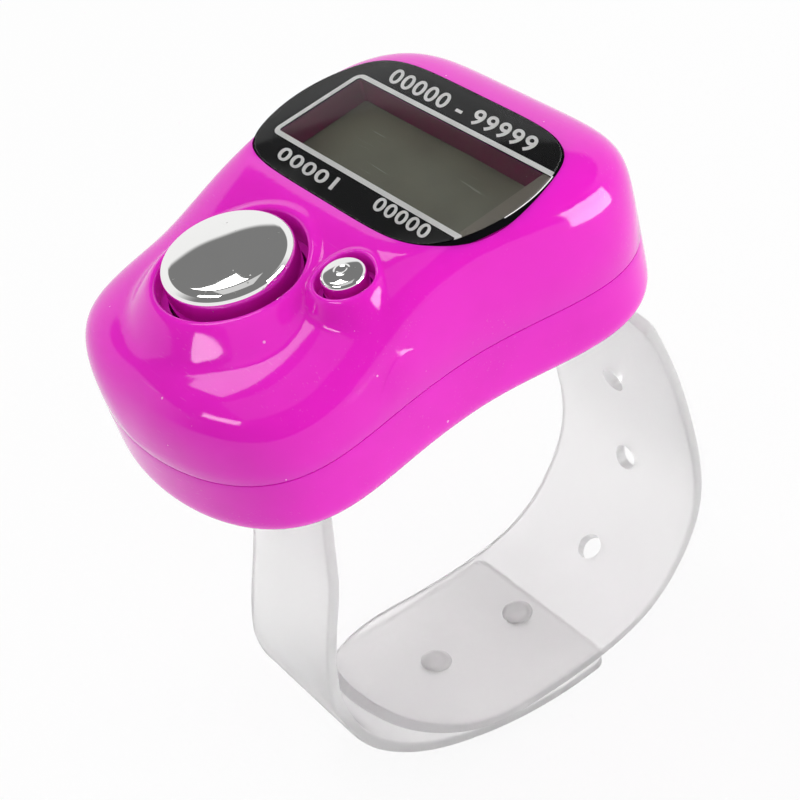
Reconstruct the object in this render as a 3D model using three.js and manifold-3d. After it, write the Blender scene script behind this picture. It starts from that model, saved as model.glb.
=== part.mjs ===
// A digital tally counter that is worn on a finger: a waisted case in two moulded shells, a domed
// display, a large count button and a small reset button, and a soft strap in two halves.
// Millimetres. +Z is up through the display, +Y runs from the count button to the display, and the
// origin is the middle of the case's flat underside, where the finger lies.
import * as THREE from "three";
import { mergeVertices } from "three/addons/utils/BufferGeometryUtils.js";
import Module from "manifold-3d";

const wasm = await Module();
wasm.setup();

// Case outline. Half widths follow five stations along the case, then both ends are rounded off.
const caseLength = 39;
const caseHalfWidth = 13.94;
const stationShares = [-0.85, -0.45, -0.1, 0.35, 0.85];
const widthShares = [1.35, 1.02, 0.893, 0.984, 1.02];
const planFrontPower = 2.02;
const planBackPower = 5.2;

// Case heights. The crown is measured up from the seam between the two shells.
const seamHeight = 5.4;
const crownHeight = 9.75;
const crownShares = [1.061, 0.807, 0.929, 1.013, 1.157];
const crownFrontPower = 2.25;
const crownBackPower = 2.8;
const sectionFrontPower = 3.6;
const sectionBackPower = 6;
const sectionBlendStartShare = -0.23;
const sectionBlendEndShare = 0.05;
const undersideShare = 0.9;
const undersidePower = 10.3;

// Mouldings, and the gaps between pieces that fit together
const wallThickness = 1.4;
const floorThickness = 1.2;
const lipThickness = 0.6;
const lipHeight = 0.55;
const lipRoot = 1;
const fitGap = 0.3;
const seatGap = 0.1;
const overrun = 3;

// Count button, the large chromed one
const countPlaceShare = -0.2115;
const countRadiusShare = 0.3372;
const countEdgeRound = 0.7;
const countTopRise = 0.25;
const countWellGap = 0.8;
const countProud = 1.6;
const countCollarRise = 0.95;
const countCollarLand = 0.5;
const countCollarWidth = 2.1;
const countCollarDrop = 2.6;
const countFlangeWidth = 0.35;
const countSkirtWidth = 0.8;
const countStemRadius = 1.8;
const countDomeRadius = 3.6;
const countDomeTopRadius = 2.2;
const countPillRadius = 1.5;

// Reset button, the small chromed one beside it
const resetAcrossShare = 0.574;
const resetAlongShare = -0.11;
const resetRadiusShare = 0.1148;
const resetEdgeRound = 0.4;
const resetTopRise = 0.1;
const resetWellGap = 0.5;
const resetProud = 0.6;
const resetCollarRise = 0.35;
const resetCollarLand = 0.3;
const resetCollarWidth = 1.6;
const resetCollarDrop = 1.9;
const resetFlangeWidth = 0.3;
const resetSkirtWidth = 0.7;
const resetStemRadius = 0.9;
const resetDomeRadius = 2;
const resetDomeTopRadius = 1.3;
const resetPillRadius = 0.7;

// What both buttons share: a guide skirt under the top, a flange that keeps the button in, and a
// rubber dome on the board with a contact pill inside
const guideFootShare = 0.46;
const flangeThickness = 0.8;
const domeHeight = 1.7;
const domeWall = 0.4;
const domeRimWidth = 0.7;
const domeRimHeight = 0.35;
const pillThickness = 0.35;

// Display
const panelPlaceShare = 0.184;
const panelHalfLengthShare = 0.8895;
const panelCornerHalfLengthShare = 0.7102;
const panelHalfHeight = 7.35;
const panelCornerInnerPower = 9;
const panelCornerOuterPower = 5;
const panelRebate = 0.25;
const panelGap = 0.15;
const lensThickness = 0.9;
const maskThickness = 0.15;
const layerGap = 0.1;
const ledgeThickness = 0.9;
const ledgeWidth = 0.8;
const windowHalfLengthShare = 0.7532;
const windowHalfHeight = 3.85;
const windowWall = 0.9;
const glassThickness = 0.7;
const glassHalfLengthShare = 0.7748;
const glassHalfHeight = 4.9;
const glassShelf = 1.3;
const filmThickness = 0.15;
const filmInset = 0.4;
const zebraHeight = 3;
const zebraWidth = 1.1;
const zebraHalfLengthShare = 0.6098;

// Circuit board and the parts soldered to it
const boardThickness = 0.9;
const boardInset = 1.9;
const boardFrontShare = -0.359;
const boardBackShare = 0.415;
const chipCoverRadius = 2.9;
const chipCoverHeight = 1.1;
const chipCoverPlaceShare = -0.3;
const chipCoverFlatShare = 0.35;
const capacitorSize = { x: 2, y: 1.25, z: 0.9 };
const resistorSize = { x: 1.6, y: 0.8, z: 0.45 };
const smallPartsPlaceShare = 0.45;
const smallPartsSpacing = 2.6;
const boardScrewMargin = 0.37;
const boardScrewSpots = [
  { side: -1, alongShare: -0.067 },
  { side: 1, alongShare: -0.262 },
];

// Button cell, its contacts and its door
const cellRadius = 5.8;
const cellThickness = 3.05;
const cellCapRadius = 4.7;
const cellCapStep = 0.3;
const cellEdgeRound = 0.35;
const cellPlaceShare = 0.056;
const cellPlay = 0.35;
const cellWallThickness = 0.8;
const cellWallShare = 0.75;
const contactThickness = 0.2;
const contactWidth = 3;
const contactPadLength = 2.4;
const contactFootLength = 1.4;
const contactLift = 0.5;
const contactLipGap = 1;
const doorThickness = 1.1;
const doorLedgeWidth = 0.75;
const doorLedgeThickness = 0.9;
const doorCornerRadius = 1.5;
const doorScrewMargin = 1.6;
const doorScrewLand = 0.9;
const doorBossHeight = 1.8;

// Self-tapping screws: a longer one for the case, a shorter one for the door and the board
const shankRadius = 0.6;
const headRadius = 1.25;
const headHeight = 0.6;
const caseScrewLength = 5.6;
const shortScrewLength = 2.4;
const screwPlay = 0.2;
const postWall = 0.7;
const bossWall = 0.55;
const counterboreDepth = 1.6;
const caseScrewPlaceShares = [
  { x: 0, y: -0.4077 },
  { x: -0.667, y: 0.3615 },
  { x: 0.667, y: 0.3615 },
];

// Strap. Both halves follow one loop: the half with holes is the inner layer, and the half with
// studs is the outer one. Each neck goes up through a slot in the floor to a bar that holds it.
const strapThickness = 1;
const strapLayerGap = 0.15;
const strapHalfWidth = 8.5;
const neckHalfWidth = 5.3;
const loopReach = 20.5;
const loopDrop = 35.8;
const loopPathShares = [
  [-0.546, -0.335],
  [-0.707, -0.654],
  [-0.507, -0.862],
  [0.049, -0.985],
  [0.649, -0.989],
  [0.966, -0.818],
  [1, -0.489],
  [0.859, -0.14],
];
const frontSlotShare = -0.232;
const backSlotShare = 0.375;
const neckStraight = 0.8;
const barHalfLength = 6.2;
const barDepth = 2.2;
const barHeight = 1.8;
const slotPlay = 0.3;
const holeCount = 5;
const studCount = 2;
const holePitch = 9.2;
const holeRadius = 1.15;
const studRadius = 0.85;
const studHeadRadius = 1.35;
const studHeadHeight = 0.45;
const lastHoleRun = 42.6;
const tipBeyondHole = 9.4;
const tipRoundLength = 11.5;
const endBeyondStud = 2.6;
const liftLength = 10;
const endCornerRadius = 1.6;
const shoulderStart = 9.2;
const shoulderLength = 2;
const flareStart = 19;
const flareLength = 32;

// Fineness of the facets
const outlinePoints = 62;
const crownRings = 12;
const cavityPoints = 42;
const cavityRings = 6;
const panelPoints = 38;
const pillowPoints = 36;
const pillowRings = 8;
const cornerSteps = 3;
const roundSides = 28;
const smallSides = 18;
const screwSides = 12;
const strapStations = 28;
const fineSteps = 5;
const outlineSamples = 1200;

// Levels above the underside, worked out from the sizes above
const boardUnderside = seamHeight + lipHeight + seatGap;
const boardTop = boardUnderside + boardThickness;
const onBoard = boardTop + seatGap;
const glassSeat = onBoard + zebraHeight + seatGap;
const glassTop = glassSeat + glassThickness;
const filmTop = glassTop + seatGap + filmThickness;
const cellBase = doorThickness + fitGap;
const cellTop = cellBase + cellThickness;
const doorLedgeBase = doorThickness + seatGap;
const doorLedgeTop = doorLedgeBase + doorLedgeThickness;
const domeTop = onBoard + domeHeight;
const guideFoot = seamHeight + crownHeight * guideFootShare;
const barBase = floorThickness + seatGap;
const ledgeDepth = panelRebate + lensThickness + maskThickness + 2 * layerGap;

// Sizes that follow the case's half width
const countRadius = countRadiusShare * caseHalfWidth;
const resetRadius = resetRadiusShare * caseHalfWidth;
const panelHalfLength = panelHalfLengthShare * caseHalfWidth;
const panelCornerHalfLength = panelCornerHalfLengthShare * caseHalfWidth;
const windowHalfLength = windowHalfLengthShare * caseHalfWidth;
const glassHalfLength = glassHalfLengthShare * caseHalfWidth;
const zebraHalfLength = zebraHalfLengthShare * caseHalfWidth;

// Places in plan
const panelCentre = { x: 0, y: panelPlaceShare * caseLength };
const cellCentre = { x: 0, y: cellPlaceShare * caseLength };
const countCentre = { x: 0, y: countPlaceShare * caseLength };
const resetCentre = placeOf({ x: resetAcrossShare, y: resetAlongShare });
const caseScrewPlaces = caseScrewPlaceShares.map(placeOf);
const boardScrewPlaces = boardScrewSpots.map(besideLip);
const bayRadius = cellRadius + cellPlay;
const doorScrewCentre = { x: 0, y: cellCentre.y + bayRadius + doorScrewMargin };
const holeAcross = shankRadius + screwPlay;
const headAcross = headRadius + screwPlay;

function placeOf(shares) {
  return { x: shares.x * caseHalfWidth, y: shares.y * caseLength };
}

// A screw's place near a side of the case, with its head clear of the lip.
function besideLip({ side, alongShare }) {
  const y = alongShare * caseLength;
  const reach = halfWidthAt(y, wallThickness + fitGap + lipThickness) - headRadius;
  return { x: side * (reach - boardScrewMargin), y };
}

// Curves and outlines

function smoothStep(from, to, value) {
  const t = Math.min(1, Math.max(0, (value - from) / (to - from)));
  return t * t * (3 - 2 * t);
}

// The smooth curve through a table of shares at the case's stations.
function throughStations(shares, at) {
  let sum = 0;
  for (let i = 0; i < stationShares.length; i++) {
    let term = shares[i];
    for (let j = 0; j < stationShares.length; j++) {
      if (j !== i) term *= (at - stationShares[j]) / (stationShares[i] - stationShares[j]);
    }
    sum += term;
  }
  return sum;
}

function roundedEnd(frontPower, backPower, at) {
  const n = at < 0 ? frontPower : backPower;
  return Math.pow(1 - Math.pow(Math.min(1, Math.abs(at)), n), 1 / n);
}

// Half width of the case at a place along it, set in by a wall.
function halfWidthAt(y, inset) {
  const width = caseHalfWidth * throughStations(widthShares, (2 * y) / caseLength) - inset;
  return width * roundedEnd(planFrontPower, planBackPower, y / (caseLength / 2 - inset));
}

// Height of the upper body above the seam, set in by a wall.
function crownAt(x, y, inset) {
  const ridge = crownHeight * throughStations(crownShares, (2 * y) / caseLength) - inset;
  const blend = smoothStep(sectionBlendStartShare, sectionBlendEndShare, y / caseLength);
  const power = sectionFrontPower + (sectionBackPower - sectionFrontPower) * blend;
  const across = Math.min(1, Math.abs(x) / halfWidthAt(y, inset));
  const fall = Math.pow(1 - Math.pow(across, power), 1 / power);
  const end = roundedEnd(crownFrontPower, crownBackPower, y / (caseLength / 2 - inset));
  return ridge * fall * end;
}

function surfaceAt(centre) {
  return seamHeight + crownAt(centre.x, centre.y, 0);
}

// Evenly spaced points round a closed loop of finely sampled ones.
function evenly(loop, count) {
  const closed = [...loop, loop[0]];
  const run = [0];
  for (let i = 1; i < closed.length; i++) {
    run.push(run[i - 1] + closed[i].distanceTo(closed[i - 1]));
  }
  const points = [];
  let at = 1;
  for (let i = 0; i < count; i++) {
    const want = (i / count) * run[run.length - 1];
    while (run[at] < want) at++;
    const share = (want - run[at - 1]) / (run[at] - run[at - 1]);
    points.push(closed[at - 1].clone().lerp(closed[at], share));
  }
  return points;
}

// A loop, counter-clockwise from above, whose half width follows its place along Y.
function mirroredLoop(reach, centreY, halfWidth, count) {
  const dense = [];
  for (let i = 0; i < outlineSamples; i++) {
    const turn = (2 * Math.PI * i) / outlineSamples;
    const y = reach * Math.sin(turn);
    dense.push(new THREE.Vector2(Math.sign(Math.cos(turn)) * halfWidth(y), centreY + y));
  }
  return evenly(dense, count);
}

function caseOutline(inset, count) {
  return mirroredLoop(caseLength / 2 - inset, 0, (y) => halfWidthAt(y, inset), count);
}

// The display's barrel outline: straight long sides, bowed ends and round corners.
function panelOutline(growth) {
  const reach = panelHalfHeight + growth;
  const halfWidth = (y) => {
    const share = Math.abs(y) / reach;
    const bow = (panelHalfLength - panelCornerHalfLength) * share * share;
    const corner = 1 - Math.pow(share, panelCornerInnerPower);
    return (panelHalfLength + growth - bow) * Math.pow(corner, 1 / panelCornerOuterPower);
  };
  return mirroredLoop(reach, panelCentre.y, halfWidth, panelPoints);
}

function roundedRectangle(left, front, right, back, radius) {
  const shape = new THREE.Shape();
  shape.absarc(right - radius, front + radius, radius, -Math.PI / 2, 0);
  shape.absarc(right - radius, back - radius, radius, 0, Math.PI / 2);
  shape.absarc(left + radius, back - radius, radius, Math.PI / 2, Math.PI);
  shape.absarc(left + radius, front + radius, radius, Math.PI, 1.5 * Math.PI);
  return shape;
}

// Part of a circle in a turned profile, as [radius, height] points.
function profileArc(centreRadius, centreHeight, round, fromTurn, toTurn) {
  const points = [];
  for (let i = 0; i <= cornerSteps; i++) {
    const turn = fromTurn + ((toTurn - fromTurn) * i) / cornerSteps;
    points.push([centreRadius + round * Math.cos(turn), centreHeight + round * Math.sin(turn)]);
  }
  return points;
}

// Solids

function solidOf(geometry) {
  const bare = geometry.clone();
  bare.deleteAttribute("normal");
  bare.deleteAttribute("uv");
  const merged = mergeVertices(bare);
  const corners = merged.index.array;
  const kept = [];
  for (let i = 0; i < corners.length; i += 3) {
    const [a, b, c] = [corners[i], corners[i + 1], corners[i + 2]];
    if (a !== b && b !== c && c !== a) kept.push(a, b, c);
  }
  const vertProperties = merged.attributes.position.array;
  return new wasm.Manifold(
    new wasm.Mesh({ numProp: 3, vertProperties, triVerts: new Uint32Array(kept) }),
  );
}

function geometryOf(solid) {
  const mesh = solid.getMesh();
  const geometry = new THREE.BufferGeometry();
  geometry.setAttribute("position", new THREE.BufferAttribute(mesh.vertProperties, 3));
  geometry.setIndex(new THREE.BufferAttribute(mesh.triVerts, 1));
  geometry.computeVertexNormals();
  return geometry;
}

// A closed skin over rings that run counter-clockwise about the way they go, capped at both ends.
function skinned(rings) {
  const count = rings[0].length;
  const points = rings.flat();
  const index = [];
  for (let i = 0; i < count; i++) {
    const next = (i + 1) % count;
    for (let r = 0; r + 1 < rings.length; r++) {
      const a = r * count + i;
      const b = r * count + next;
      index.push(a, b, b + count, a, b + count, a + count);
    }
    const last = (rings.length - 1) * count;
    index.push(points.length, next, i, points.length + 1, last + i, last + next);
  }
  const hubs = [rings[0], rings[rings.length - 1]].map((ring) =>
    ring.reduce((sum, point) => sum.add(point), new THREE.Vector3()).divideScalar(count),
  );
  const geometry = new THREE.BufferGeometry().setFromPoints([...points, ...hubs]);
  geometry.setIndex(index);
  return solidOf(geometry);
}

function disc(radius, low, high, centre, sides = smallSides) {
  const geometry = new THREE.CylinderGeometry(radius, radius, high - low, sides);
  geometry.rotateX(Math.PI / 2);
  geometry.translate(centre.x, centre.y, (low + high) / 2);
  return solidOf(geometry);
}

function tube(inner, outer, low, high, centre, sides = smallSides) {
  const bore = disc(inner, low - overrun, high + overrun, centre, sides);
  return disc(outer, low, high, centre, sides).subtract(bore);
}

function block(size, low, centre) {
  const geometry = new THREE.BoxGeometry(size.x, size.y, size.z);
  geometry.translate(centre.x, centre.y, low + size.z / 2);
  return solidOf(geometry);
}

function prism(outline, low, high) {
  const shape = outline instanceof THREE.Shape ? outline : new THREE.Shape(outline);
  const options = { depth: high - low, bevelEnabled: false, curveSegments: cornerSteps };
  const geometry = new THREE.ExtrudeGeometry(shape, options);
  geometry.translate(0, 0, low);
  return solidOf(geometry);
}

// A body turned round a vertical axis from [radius, height] points.
function turned(profile, centre, sides = roundSides) {
  const points = profile.map(([radius, height]) => new THREE.Vector2(radius, height));
  const geometry = new THREE.LatheGeometry(points, sides);
  geometry.rotateX(Math.PI / 2);
  geometry.translate(centre.x, centre.y, 0);
  return solidOf(geometry);
}

// A bent strip of sheet metal: a middle line in X and Z, thickened, and as wide as asked along Y.
function bentStrip(line, thickness, width, centreY) {
  const sides = [1, -1].map((side) =>
    line.map((point, i) => {
      const before = line[Math.max(0, i - 1)];
      const after = line[Math.min(line.length - 1, i + 1)];
      const along = after.clone().sub(before).normalize();
      const leg = (i ? point.clone().sub(before) : after.clone().sub(point)).normalize();
      const reach = ((side * thickness) / 2) / along.dot(leg);
      return new THREE.Vector2(point.x - along.y * reach, point.y + along.x * reach);
    }),
  );
  const shape = new THREE.Shape([...sides[1], ...sides[0].reverse()]);
  const geometry = new THREE.ExtrudeGeometry(shape, { depth: width, bevelEnabled: false });
  geometry.rotateX(Math.PI / 2);
  geometry.translate(0, centreY + width / 2, 0);
  return solidOf(geometry);
}

// The domed upper body, from a skirt below the seam up to the crown.
function upperBody(inset, skirt, points, ringCount) {
  const rim = caseOutline(inset, points);
  const level = (share, heightAt) =>
    rim.map((p) => new THREE.Vector3(p.x * share, p.y * share, seamHeight + heightAt(p, share)));
  const rings = skirt ? [level(1, () => -skirt)] : [];
  rings.push(level(1, () => 0));
  for (let r = 1; r < ringCount; r++) {
    const share = Math.sqrt(Math.cos(((r / ringCount) * Math.PI) / 2));
    rings.push(level(share, (p) => crownAt(p.x * share, p.y * share, inset)));
  }
  return skinned(rings);
}

// The lower body: nearly upright sides that round under to the flat underside.
function lowerBody(inset, low, high, points) {
  const rim = caseOutline(inset, points);
  const rings = [];
  for (let r = 0; r <= cornerSteps; r++) {
    const depth = 1 - Math.pow(r / cornerSteps, 2);
    const share = 1 - (1 - undersideShare) * Math.pow(depth, undersidePower);
    const height = seamHeight - (seamHeight - low) * depth;
    rings.push(rim.map((p) => new THREE.Vector3(p.x * share, p.y * share, height)));
  }
  const top = rings.pop();
  rings.push(top.map((p) => p.clone().setZ(high)));
  return skinned(rings);
}

const outerUpper = upperBody(0, 0, outlinePoints, crownRings);
const pillow = upperBody(0, overrun, pillowPoints, pillowRings);
const middleUpper = upperBody(wallThickness / 2, 0, cavityPoints, cavityRings);
const highest = seamHeight + crownHeight + overrun;

// The layer that lies between two depths under the crown, inside the display's outline.
function panelLayer(growth, from, to) {
  return prism(panelOutline(growth), guideFoot, highest)
    .intersect(pillow.translate(0, 0, -from))
    .subtract(pillow.translate(0, 0, -to));
}

function windowBox(growth, low, high) {
  const size = {
    x: 2 * (windowHalfLength + growth),
    y: 2 * (windowHalfHeight + growth),
    z: high - low,
  };
  return block(size, low, panelCentre);
}

// Button wells. Each has a raised collar outside and a guide skirt inside.

const countButton = {
  centre: countCentre,
  radius: countRadius,
  edgeRound: countEdgeRound,
  topRise: countTopRise,
  well: countRadius + countWellGap,
  collarTop: surfaceAt(countCentre) + countCollarRise,
  proud: countProud,
  land: countCollarLand,
  collarWidth: countCollarWidth,
  collarDrop: countCollarDrop,
  flange: countFlangeWidth,
  skirt: countSkirtWidth,
  stem: countStemRadius,
  dome: countDomeRadius,
  domeTopRadius: countDomeTopRadius,
  pill: countPillRadius,
  sides: roundSides,
};

const resetButton = {
  centre: resetCentre,
  radius: resetRadius,
  edgeRound: resetEdgeRound,
  topRise: resetTopRise,
  well: resetRadius + resetWellGap,
  collarTop: surfaceAt(resetCentre) + resetCollarRise,
  proud: resetProud,
  land: resetCollarLand,
  collarWidth: resetCollarWidth,
  collarDrop: resetCollarDrop,
  flange: resetFlangeWidth,
  skirt: resetSkirtWidth,
  stem: resetStemRadius,
  dome: resetDomeRadius,
  domeTopRadius: resetDomeTopRadius,
  pill: resetPillRadius,
  sides: smallSides,
};

function collar(button) {
  const { well, collarTop, land, collarWidth, collarDrop } = button;
  const foot = collarTop - collarDrop;
  const profile = [[well, foot]];
  profile.push([well + collarWidth, foot]);
  for (let i = fineSteps - 1; i >= 0; i--) {
    const share = i / fineSteps;
    const radius = well + land + (collarWidth - land) * share;
    profile.push([radius, collarTop - collarDrop * share * share]);
  }
  profile.push(...profileArc(well + land / 2, collarTop - land / 2, land / 2, Math.PI / 2, Math.PI));
  profile.push([well, foot]);
  return turned(profile, button.centre, button.sides);
}

function guideSkirt(button) {
  const top = button.collarTop - button.land;
  return tube(button.well, button.well + button.skirt, guideFoot, top, button.centre, button.sides);
}

// Case pieces

function makeTopShell() {
  let shell = outerUpper;
  for (const button of [countButton, resetButton]) shell = shell.add(collar(button));
  shell = shell.subtract(upperBody(wallThickness, overrun, cavityPoints, cavityRings));

  // What stands inside the roof: skirts, the display's ledge and window walls, and screw posts
  const ledge = panelLayer(ledgeWidth, 0, ledgeDepth + ledgeThickness).intersect(middleUpper);
  const windowWalls = windowBox(windowWall, filmTop + seatGap, highest).intersect(middleUpper);
  shell = shell.add(ledge).add(windowWalls);
  for (const button of [countButton, resetButton]) shell = shell.add(guideSkirt(button));
  for (const place of caseScrewPlaces) {
    const post = disc(holeAcross + postWall, seamHeight, highest, place, screwSides);
    shell = shell.add(post.intersect(middleUpper));
  }
  for (const place of boardScrewPlaces) {
    const post = disc(holeAcross + postWall, onBoard, highest, place, screwSides);
    shell = shell.add(post.intersect(middleUpper));
  }

  // Openings: the display's rebate and window, the button wells and the pilot holes
  const recess = prism(panelOutline(panelGap), guideFoot, highest).subtract(
    pillow.translate(0, 0, -ledgeDepth),
  );
  const glassSpace = {
    x: 2 * (glassHalfLength + seatGap),
    y: 2 * (glassHalfHeight + seatGap),
    z: filmTop + seatGap,
  };
  shell = shell
    .subtract(recess)
    .subtract(windowBox(0, guideFoot - overrun, highest))
    .subtract(block(glassSpace, 0, panelCentre));
  for (const { well, centre, sides } of [countButton, resetButton]) {
    shell = shell.subtract(disc(well, guideFoot - overrun, highest, centre, sides));
  }
  const caseScrewTip = counterboreDepth + caseScrewLength + fitGap;
  for (const place of caseScrewPlaces) {
    shell = shell.subtract(disc(holeAcross, -overrun, caseScrewTip, place, screwSides));
  }
  const boardScrewTip = boardUnderside + shortScrewLength + fitGap;
  for (const place of boardScrewPlaces) {
    shell = shell.subtract(disc(holeAcross, 0, boardScrewTip, place, screwSides));
  }
  return shell;
}

// The door covers the round bay and the screw behind it.
function doorShape(growth) {
  const half = bayRadius + doorLedgeWidth + growth;
  const back = doorScrewCentre.y + headAcross + doorScrewLand + growth;
  return roundedRectangle(-half, cellCentre.y - half, half, back, doorCornerRadius + growth);
}

function neckSlot(neck) {
  const size = {
    x: 2 * (neckHalfWidth + slotPlay),
    y: strapThickness + 2 * slotPlay,
    z: floorThickness + 2 * overrun,
  };
  return block(size, -overrun, neck);
}

function makeBottomShell() {
  const rimTop = seamHeight - seatGap;
  const cavity = lowerBody(wallThickness, floorThickness, seamHeight + overrun, cavityPoints);
  let shell = lowerBody(0, 0, rimTop, outlinePoints).subtract(cavity);

  // The lip that locates the top shell, standing on a step inside the wall
  const lipOutside = wallThickness + fitGap;
  const lipInside = lipOutside + lipThickness;
  const hollow = prism(caseOutline(lipInside, cavityPoints), 0, highest);
  const step = prism(caseOutline(wallThickness / 2, cavityPoints), rimTop - lipRoot, rimTop);
  const lip = prism(caseOutline(lipOutside, cavityPoints), rimTop - lipRoot, seamHeight + lipHeight);
  shell = shell.add(step.add(lip).subtract(hollow));

  // The cell's bay: a ledge for the door, a round wall, and the door screw's boss
  const ledge = prism(doorShape(seatGap + fitGap), doorLedgeBase, doorLedgeTop);
  const wallTop = cellBase + cellThickness * cellWallShare;
  const wall = disc(bayRadius + cellWallThickness, doorLedgeBase, wallTop, cellCentre, roundSides);
  const bossTop = doorLedgeTop + doorBossHeight;
  const boss = disc(holeAcross + postWall, doorLedgeBase, bossTop, doorScrewCentre, screwSides);
  shell = shell.add(ledge).add(wall).add(boss);
  for (const place of caseScrewPlaces) {
    const sleeve = disc(headAcross + bossWall, 0, rimTop - seatGap, place, screwSides);
    shell = shell.add(sleeve.intersect(lowerBody(wallThickness / 2, 0, rimTop, cavityPoints)));
  }

  // Openings: the door, the bay, the positive contact's notch, the strap slots and the screw holes
  const notch = { x: contactWidth, y: contactWidth + 2 * fitGap, z: cellThickness + overrun };
  const notchCentre = { x: -bayRadius, y: cellCentre.y };
  shell = shell
    .subtract(prism(doorShape(seatGap), -overrun, doorLedgeBase))
    .subtract(disc(bayRadius, 0, highest, cellCentre, roundSides))
    .subtract(block(notch, doorLedgeTop, notchCentre))
    .subtract(disc(holeAcross, 0, highest, doorScrewCentre, screwSides));
  for (const neck of [studNeck, holeNeck]) shell = shell.subtract(neckSlot(neck));
  for (const place of caseScrewPlaces) {
    shell = shell
      .subtract(disc(headAcross, -overrun, counterboreDepth, place, screwSides))
      .subtract(disc(holeAcross, 0, highest, place, screwSides))
      .subtract(disc(holeAcross + postWall + fitGap, rimTop, highest, place, screwSides));
  }
  return shell;
}

function makeBatteryDoor() {
  const recess = disc(headAcross, -overrun, headHeight, doorScrewCentre, screwSides);
  return prism(doorShape(0), 0, doorThickness)
    .subtract(recess)
    .subtract(disc(holeAcross, 0, highest, doorScrewCentre, screwSides));
}

// A pan head with its shank above it, driven upwards.
function makeScrew(place, headTop, length) {
  const profile = [
    [0, headTop - headHeight],
    [headRadius, headTop - headHeight],
    [headRadius, headTop],
    [shankRadius, headTop],
    [shankRadius, headTop + length - shankRadius],
    [0, headTop + length],
  ];
  return turned(profile, place, screwSides);
}

// Buttons, rubber domes and contact pills

function makeButton(button) {
  const { radius, edgeRound, well } = button;
  const top = button.collarTop + button.proud;
  const flangeTop = guideFoot - seatGap;
  const flangeFoot = flangeTop - flangeThickness;
  const profile = [
    [0, domeTop + seatGap],
    [button.stem, domeTop + seatGap],
    [button.stem, flangeFoot],
    [well + button.flange, flangeFoot],
    [well + button.flange, flangeTop],
    [radius, flangeTop],
  ];
  profile.push(...profileArc(radius - edgeRound, top - edgeRound, edgeRound, 0, Math.PI / 2));
  profile.push([0, top + button.topRise]);
  return turned(profile, button.centre, button.sides);
}

function makeDome(button) {
  const { dome, domeTopRadius } = button;
  const profile = [
    [0, domeTop - domeWall],
    [domeTopRadius - domeWall, domeTop - domeWall],
    [dome - domeRimWidth, onBoard + domeRimHeight / 2],
    [dome - domeRimWidth, onBoard],
    [dome, onBoard],
    [dome, onBoard + domeRimHeight],
    [dome - domeRimWidth / 2, onBoard + domeRimHeight],
    [domeTopRadius, domeTop],
    [0, domeTop],
  ];
  return turned(profile, button.centre, smallSides);
}

function makePill(button) {
  const pillTop = domeTop - domeWall - seatGap / 2;
  return disc(button.pill, pillTop - pillThickness, pillTop, button.centre);
}

// Display pieces

function makeLens() {
  return panelLayer(0, panelRebate, panelRebate + lensThickness);
}

function makeMask() {
  const under = panelRebate + lensThickness + layerGap;
  return panelLayer(-panelGap, under, under + maskThickness).subtract(
    windowBox(0, guideFoot, highest),
  );
}

function makeGlass() {
  const front = { x: 2 * glassHalfLength, y: 2 * glassHalfHeight, z: glassThickness };
  const rear = { ...front, y: 2 * (glassHalfHeight - glassShelf) };
  return block(front, glassSeat, panelCentre).add(
    block(rear, glassSeat - glassThickness, panelCentre),
  );
}

function makeFilm(halfHeight, low) {
  const size = {
    x: 2 * (glassHalfLength - filmInset),
    y: 2 * (halfHeight - filmInset),
    z: filmThickness,
  };
  return block(size, low, panelCentre);
}

function makeZebraStrip(side) {
  const away = glassHalfHeight - zebraWidth / 2;
  const size = { x: 2 * zebraHalfLength, y: zebraWidth, z: zebraHeight };
  return block(size, onBoard, { x: 0, y: panelCentre.y + side * away });
}

// Circuit board pieces

// Room for a screw post, open to the end of the board behind it.
function postNotch(place) {
  const across = holeAcross + postWall + fitGap;
  const size = { x: 2 * across, y: caseLength / 2, z: boardTop };
  const middle = { x: place.x, y: place.y + (Math.sign(place.y) * size.y) / 2 };
  return disc(across, 0, highest, place, screwSides).add(block(size, 0, middle));
}

function makeBoard() {
  const size = { x: 2 * caseHalfWidth, y: (boardBackShare - boardFrontShare) * caseLength };
  const middle = { x: 0, y: ((boardBackShare + boardFrontShare) / 2) * caseLength };
  let board = prism(caseOutline(boardInset, cavityPoints), boardUnderside, boardTop).intersect(
    block({ ...size, z: overrun }, boardUnderside - overrun / 3, middle),
  );
  for (const place of caseScrewPlaces) {
    board = board.subtract(postNotch(place));
  }
  for (const place of boardScrewPlaces) {
    board = board.subtract(disc(holeAcross, 0, highest, place, screwSides));
  }
  return board;
}

function makeChipCover() {
  const centre = { x: chipCoverPlaceShare * glassHalfLength, y: panelCentre.y };
  const profile = [[0, onBoard]];
  for (let i = 0; i <= fineSteps; i++) {
    const turn = ((Math.PI / 2) * i) / fineSteps;
    const radius = chipCoverRadius * Math.cos(turn);
    profile.push([radius, onBoard + chipCoverHeight * Math.pow(Math.sin(turn), chipCoverFlatShare)]);
  }
  return turned(profile, centre, smallSides);
}

function makeSmallPart(size, side) {
  const x = smallPartsPlaceShare * glassHalfLength;
  return block(size, onBoard, { x, y: panelCentre.y + (side * smallPartsSpacing) / 2 });
}

// Cell and contacts

function makeCell() {
  const shoulder = cellTop - cellCapStep;
  const reach = cellRadius - cellEdgeRound;
  const profile = [[0, cellBase]];
  profile.push(...profileArc(reach, cellBase + cellEdgeRound, cellEdgeRound, -Math.PI / 2, 0));
  profile.push(...profileArc(reach, shoulder - cellEdgeRound, cellEdgeRound, 0, Math.PI / 2));
  profile.push([cellCapRadius, shoulder], [cellCapRadius, cellTop], [0, cellTop]);
  return turned(profile, cellCentre);
}

const padLevel = boardUnderside - seatGap - contactThickness / 2;

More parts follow.
